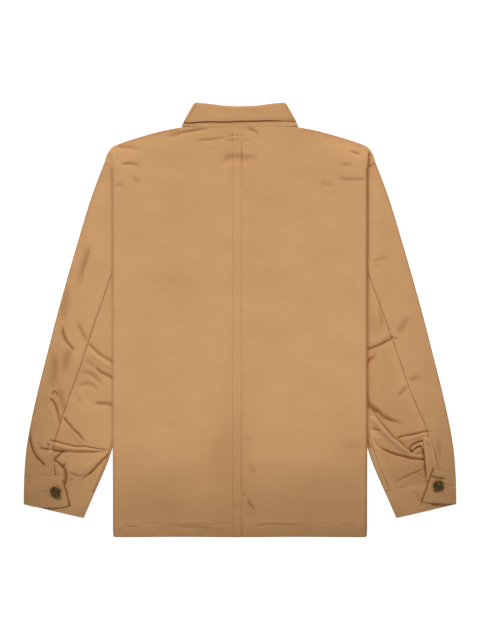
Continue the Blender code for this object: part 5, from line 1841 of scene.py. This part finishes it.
def stitch_row(form, surface, line, from_above=True, bar=None):
    """Sews along a line of places in plan, in millimetres, dropping each stitch on the surface.

    bar turns each stitch across the line, and gives its length: a purl or a bar tack.
    """
    settings = bpy.context.scene.jacket_stitches
    points = [Vector((x, y)) * MM for x, y in line]
    lengths = [(b - a).length for a, b in zip(points, points[1:])]
    total = sum(lengths)
    start_z = NEEDLE_ABOVE if from_above else NEEDLE_BELOW
    ray = Vector((0.0, 0.0, -1.0 if from_above else 1.0))
    pitch = settings.thread * BAR_PITCH if bar else settings.pitch
    half = (bar * MM if bar else settings.length) / 2

    def at(distance):
        for a, b, length in zip(points, points[1:], lengths):
            if distance <= length:
                return a.lerp(b, distance / length)
            distance -= length
        return points[-1]

    row = bmesh.new()
    count = max(1, round(total / pitch))
    for k in range(count):
        middle = (k + 0.5) * total / count
        ends = at(middle - half), at(middle + half)
        if bar:
            step = at(middle + pitch / 2) - at(middle - pitch / 2)
            across = Vector((-step.y, step.x)).normalized() * half
            ends = at(middle) - across, at(middle) + across
        tail, head = [surface.ray_cast(Vector((*end, start_z)), ray)[0] for end in ends]
        if tail is None or head is None or abs(tail.z - head.z) > STEEPEST_STITCH * half:
            continue
        sew(row, tail, head, ray)
    mesh = mesh_from(row, "row")
    form.from_mesh(mesh)
    bpy.data.meshes.remove(mesh)


def sew(form, tail, head, ray):
    """One stitch: a bean of thread from tail to head."""
    settings = bpy.context.scene.jacket_stitches
    run = (head - tail).normalized()
    centre = (tail + head) / 2 - ray * settings.thread * THREAD_RISE
    aim = run.to_track_quat("X", "Z").to_matrix().to_4x4()
    size = Matrix.Diagonal(((head - tail).length / 2, settings.thread / 2, settings.thread / 2, 1))
    turned = Matrix.Translation(centre) @ aim @ size @ Matrix.Rotation(math.pi / 2, 4, "Y")
    bmesh.ops.create_uvsphere(form, u_segments=6, v_segments=4, radius=1.0, matrix=turned)


def sew_piece(name, node, rows, from_above=True, bars=()):
    """Sews rows of stitches and bars on a node's finished cloth, as one piece of thread."""
    surface = surface_of(node)
    form = bmesh.new()
    for row in rows:
        stitch_row(form, surface, row, from_above)
    for row, bar in bars:
        stitch_row(form, surface, row, from_above, bar)
    mesh = mesh_from(form, f"{name}_thread")
    mesh.shade_smooth()
    add_piece(mesh, "tan_thread")


def mirrored(side, xs, ys):
    """A line of places in plan on one side of the jacket."""
    return list(zip(side * np.asarray(xs, float), np.broadcast_to(ys, np.shape(xs)).astype(float)))


def sleeve_seam_rows(side):
    """The two rows beside the sleeve's back seam, where the body leaves them in view."""
    share = np.linspace(0.03, 0.97, 90)
    rows = []
    for distance in FELL_ROWS:
        across = seam_share(side, share) - distance / sleeve_width(share)
        x, y = sleeve_place(share, across)
        seen = x > read(BODY, "y", y, "edge") + 1.0
        rows.append(mirrored(side, x[seen], y[seen]))
    return rows


def inner_seam_rows(side):
    """The row beside the sleeve's inner seam, below the body's side fold."""
    share = np.linspace(0.01, 0.16, 20)
    across = 1 - (INNER_SEAM[side] - FELL_ROWS[0]) / sleeve_width(share)
    x, y = sleeve_place(share, across)
    return [mirrored(side, x, y)]


def cuff_line(rows, down, start=0.0, end=1.0):
    """A line along a run of cuff sections, at a share of their depth."""
    place = np.linspace(start, end, 24) * (len(rows) - 1)
    up_x, up_y, low_x, low_y, _ = cuff_sections(rows, place)
    return up_x + (low_x - up_x) * down, up_y + (low_y - up_y) * down


def cuff_end_line(rows, inset):
    """A line down a cuff's end, some way in from it."""
    first, last = rows[0], rows[-1]
    share = inset / math.hypot(last.up_x - first.up_x, last.up_y - first.up_y)
    down = np.linspace(0.07, 0.93, 16)
    up, low = [
        np.array(first[k : k + 2]) * (1 - share) + share * np.array(last[k : k + 2])
        for k in (0, 2)
    ]
    return up[0] + (low[0] - up[0]) * down, up[1] + (low[1] - up[1]) * down


def binding_rows(side):
    """A row along each edge of the strip on the sleeve opening."""
    strip = VENTS[side]
    rows = []
    for offset in (-0.5, 0.5):
        up_x = strip.up_x + offset * (strip.width - 2 * BINDING_ROW_INSET)
        low_x = strip.low_x + offset * (strip.width - 2 * BINDING_ROW_INSET)
        xs = [up_x, low_x + strip.flare * (offset + 0.5)]
        rows.append(mirrored(side, xs, [strip.up_y - 1.5, strip.low_y + 1.5]))
    return rows


def cuff_rows(side):
    """Rows along the cuff's edges and its end, and the bars of its buttonhole."""
    over = CUFF_OVER[side]
    under = [CUFF_INNER] + CUFF_UNDER[side]
    rows = [
        mirrored(side, *cuff_line(over, 0.035, 0.03, 1.0)),
        mirrored(side, *cuff_line(over, 0.125, 0.10, 1.0)),
        mirrored(side, *cuff_line(over, 0.965, 0.05, 1.0)),
        mirrored(side, *cuff_end_line(over, 2.0)),
        mirrored(side, *cuff_line(under, 0.035, 0.06, 0.66)),
        mirrored(side, *cuff_line(under, 0.965, 0.06, 0.72)),
    ]
    start, end = BUTTONHOLES[side]
    run = Vector((end.x - start.x, end.y - start.y)).normalized()
    bars = []
    for way in (-1.0, 1.0):
        xs = [start.x - way * run.y, end.x - way * run.y]
        ys = [start.y + way * run.x, end.y + way * run.x]
        bars.append((mirrored(side, xs, ys), BUTTONHOLE_BAR))
    return rows, bars


def button_form(height, shank):
    """A turned metal button, its back at height 0 and its face up: rim, groove and dome."""
    profile = BUTTON_PROFILE
    if shank:
        profile = [(0.0, -shank), (1.9, -shank), (2.2, 0.3 - shank), (2.2, -0.2)] + profile[1:]
    form = bmesh.new()
    points = [form.verts.new((r, 0.0, z * height if z > 0 else z)) for r, z in profile]
    edges = [form.edges.new(pair) for pair in zip(points, points[1:])]
    bmesh.ops.spin(
        form,
        geom=points + edges,
        cent=(0.0, 0.0, 0.0),
        axis=(0.0, 0.0, 1.0),
        angle=2 * math.pi,
        steps=bpy.context.scene.jacket_buttons.rings,
        use_merge=True,
    )
    bmesh.ops.remove_doubles(form, verts=form.verts, dist=0.001)
    bmesh.ops.recalc_face_normals(form, faces=form.faces)
    return form


def button_piece(node, height, shank=0.0, lean=0.0, lean_toward=0.0, at=None):
    """A button in its node's place, face down, or at a place in plan with its face tipped."""
    low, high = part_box(node)
    form = button_form(height, shank)
    if at is None:
        turn = Matrix.Rotation(math.pi, 4, "X")
        place = Vector(((low[0] + high[0]) / 2, (low[1] + high[1]) / 2, high[2]))
    else:
        axis = Vector((-math.sin(lean_toward), math.cos(lean_toward), 0.0))
        turn = Matrix.Rotation(lean, 4, axis)
        rim_drop = BUTTON_RADIUS * math.sin(lean)
        back = low[2] + (rim_drop - RIM_IN_CLOTH) * MM
        tip = turn @ Vector((0.0, 0.0, height / 2)) * MM
        place = Vector((at[0] * MM - tip.x, at[1] * MM - tip.y, back))
    size = Matrix.Diagonal((MM, MM, MM, 1.0))
    bmesh.ops.transform(form, matrix=Matrix.Translation(place) @ turn @ size, verts=form.verts)
    mesh = mesh_from(form, f"{node}_metal")
    mesh.shade_smooth()
    mesh.set_sharp_from_angle(angle=math.radians(50.0))
    add_piece(mesh, "antique_bronze", [node])


# ---------------------------------------------------------------------------------------------
# Operators
# ---------------------------------------------------------------------------------------------


class JACKET_OT_backs(bpy.types.Operator):
    """Lay the two back panels, lapped at the centre seam"""

    bl_idname = "jacket.backs"
    bl_label = "Backs"

    def execute(self, context):
        for side, word in SIDES.items():
            points, corner = back_points(side)
            wall = thickness("wall")
            cloth_piece(f"back_{word}", points, side, wall, corner=corner)
        return {"FINISHED"}


class JACKET_OT_fronts(bpy.types.Operator):
    """Lay the two front panels on the ground, lapped at the buttons"""

    bl_idname = "jacket.fronts"
    bl_label = "Fronts"

    def execute(self, context):
        for side, word in SIDES.items():
            points, corner = front_points(side)
            cloth_piece(f"front_{word}", points, side, thickness("wall"), corner=corner)
        return {"FINISHED"}


class JACKET_OT_sleeves(bpy.types.Operator):
    """Lay the sleeves: a top and an under sleeve and the opening's binding on each side"""

    bl_idname = "jacket.sleeves"
    bl_label = "Sleeves"

    def execute(self, context):
        wall = thickness("wall")
        for side, word in SIDES.items():
            grain = SLEEVE_GRAIN * side
            top = f"sleeve_top_{word}"
            points = top_sleeve_points(side)
            cloth_piece(top, points, side, wall, grain)
            points = under_sleeve_points(side)
            cloth_piece(f"sleeve_under_{word}", points, side, wall, grain)
            points = binding_points(side)
            folded = wall * BINDING_THICKNESS
            cloth_piece(f"sleeve_binding_{word}", points, side, folded, grain)
        return {"FINISHED"}


class JACKET_OT_cuffs(bpy.types.Operator):
    """Fold the two cuffs round the sleeve ends"""

    bl_idname = "jacket.cuffs"
    bl_label = "Cuffs"

    def execute(self, context):
        for side, word in SIDES.items():
            points = cuff_points(side)
            grain = SLEEVE_GRAIN * side
            cloth_piece(f"cuff_{word}", points, side, thickness("firm_wall"), grain)
        return {"FINISHED"}


class JACKET_OT_collar(bpy.types.Operator):
    """Fold the collar: its stand and the fall turned down over it"""

    bl_idname = "jacket.collar"
    bl_label = "Collar"

    def execute(self, context):
        wall = thickness("firm_wall")
        points, edge = fall_points(wall)
        cloth_piece("collar_fall", points, 1, wall)
        cloth_piece("collar_stand", stand_points(wall, edge), 1, wall)
        return {"FINISHED"}


class JACKET_OT_buttons(bpy.types.Operator):
    """Set the domed metal buttons on the cuffs and the front"""

    bl_idname = "jacket.buttons"
    bl_label = "Buttons"

    def execute(self, context):
        for side, word in SIDES.items():
            lean, toward, shank = CUFF_BUTTON_LEANS[side]
            at = (side * BUTTON_PLACES[side].x, BUTTON_PLACES[side].y)
            button_piece(f"cuff_button_{word}", CUFF_BUTTON_HEIGHT, shank, lean, toward, at)
        for node in sorted(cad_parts):
            if node.startswith("front_button"):
                button_piece(node, FRONT_BUTTON_HEIGHT)
        return {"FINISHED"}


class JACKET_OT_stitches(bpy.types.Operator):
    """Sew the seams, hems and edges"""

    bl_idname = "jacket.stitches"
    bl_label = "Stitches"

    def execute(self, context):
        ends = [HEM_Y + HEM_INSET, NECK_Y - 2.0]
        lap = [mirrored(1, [LAP_EDGE - distance] * 2, ends) for distance in LAP_ROWS]
        hem = mirrored(-1, [HEM_END, -1.5], HEM_LINE)
        sew_piece("back_left", "back_left", lap + [hem] + NECK_TACK, bars=NECK_BARS)
        hem = mirrored(1, [4.6, HEM_END], HEM_LINE)
        sew_piece("back_right", "back_right", [hem])
        for side, word in SIDES.items():
            rows = sleeve_seam_rows(side)
            if side > 0:
                rows += inner_seam_rows(side)
            sew_piece(f"sleeve_{word}", f"sleeve_top_{word}", rows)
            sew_piece(f"binding_{word}", f"sleeve_binding_{word}", binding_rows(side))
            rows, bars = cuff_rows(side)
            sew_piece(f"cuff_{word}", f"cuff_{word}", rows, bars=bars)
            rows = [
                mirrored(side, [line] * 2, [HEM_Y + HEM_INSET, FRONT_STITCHES_TOP])
                for line in FRONT_STITCH_LINES
            ]
            rows.append(mirrored(side, [-13.0, 216.0], HEM_LINE))
            sew_piece(f"front_{word}", f"front_{word}", rows, from_above=False)
        return {"FINISHED"}


class JACKET_OT_stage(bpy.types.Operator):
    """Set the floor, the lights and the camera over the jacket"""

    bl_idname = "jacket.stage"
    bl_label = "Stage"

    def execute(self, context):
        settings = context.scene.jacket_stage
        form = bmesh.new()
        below = Matrix.Translation((0.0, 0.0, -FLOOR_DROP))
        bmesh.ops.create_grid(form, x_segments=1, y_segments=1, size=FLOOR_REACH, matrix=below)
        mesh = mesh_from(form, "floor")
        mesh.materials.append(material_of("pale_floor"))
        add_object(mesh)

        light = bpy.data.lights.new("key_light", "AREA")
        light.energy = settings.key_power
        light.shape = "RECTANGLE"
        light.size, light.size_y = KEY_SIZE
        light.spread = settings.key_spread
        lamp = add_object(light)
        lamp.location = KEY_PLACE
        aim = Vector(KEY_AIM) - lamp.location
        lamp.rotation_euler = aim.to_track_quat("-Z", "Y").to_euler()
        world = bpy.data.worlds.new("surround")
        world.use_nodes = True
        background = world.node_tree.nodes["Background"]
        background.inputs["Color"].default_value = (1.0, 1.0, 1.0, 1.0)
        background.inputs["Strength"].default_value = settings.surround
        context.scene.world = world

        camera = bpy.data.cameras.new("camera")
        camera.type = "PERSP"
        camera.sensor_fit = "VERTICAL"
        camera.sensor_height = 36.0
        distance = settings.camera_height - VIEW_LEVEL
        camera.lens = camera.sensor_height * distance / VIEW_HEIGHT
        context.scene.camera = add_object(camera)
        context.scene.camera.location = (0.0, 0.0, settings.camera_height)
        context.scene.view_settings.view_transform = "Standard"
        return {"FINISHED"}


class JACKET_PT_sidebar(bpy.types.Panel):
    """The jacket's settings and its pieces, in the order in which they are laid."""

    bl_label = "Shirt Jacket"
    bl_space_type = "VIEW_3D"
    bl_region_type = "UI"
    bl_category = "Shirt Jacket"

    def draw(self, context):
        layout = self.layout
        for name, group, _ in SETTINGS:
            box = layout.box()
            box.label(text=group.bl_rna.description)
            for key in group.__annotations__:
                box.prop(getattr(context.scene, name), key)
        for operator in OPERATORS:
            layout.operator(operator.bl_idname)


SETTINGS = [
    ("jacket_cloth", JacketClothSettings, "Cloth"),
    ("jacket_stitches", JacketStitchSettings, "Stitches"),
    ("jacket_buttons", JacketButtonSettings, "Buttons"),
    ("jacket_stage", JacketStageSettings, "Stage"),
]
OPERATORS = [
    JACKET_OT_backs,
    JACKET_OT_fronts,
    JACKET_OT_sleeves,
    JACKET_OT_cuffs,
    JACKET_OT_collar,
    JACKET_OT_buttons,
    JACKET_OT_stitches,
    JACKET_OT_stage,
]


def register():
    for name, group, _ in SETTINGS:
        bpy.utils.register_class(group)
        setattr(bpy.types.Scene, name, PointerProperty(type=group))
    for operator in OPERATORS:
        bpy.utils.register_class(operator)
    bpy.utils.register_class(JACKET_PT_sidebar)


def unregister():
    bpy.utils.unregister_class(JACKET_PT_sidebar)
    for operator in reversed(OPERATORS):
        bpy.utils.unregister_class(operator)
    for name, group, _ in reversed(SETTINGS):
        delattr(bpy.types.Scene, name)
        bpy.utils.unregister_class(group)


def main():
    """Lays the whole jacket."""
    register()
    bpy.ops.jacket.backs()
    bpy.ops.jacket.fronts()
    bpy.ops.jacket.sleeves()
    bpy.ops.jacket.cuffs()
    bpy.ops.jacket.collar()
    bpy.ops.jacket.buttons()
    bpy.ops.jacket.stitches()
    bpy.ops.jacket.stage()


if __name__ == "__main__":
    main()
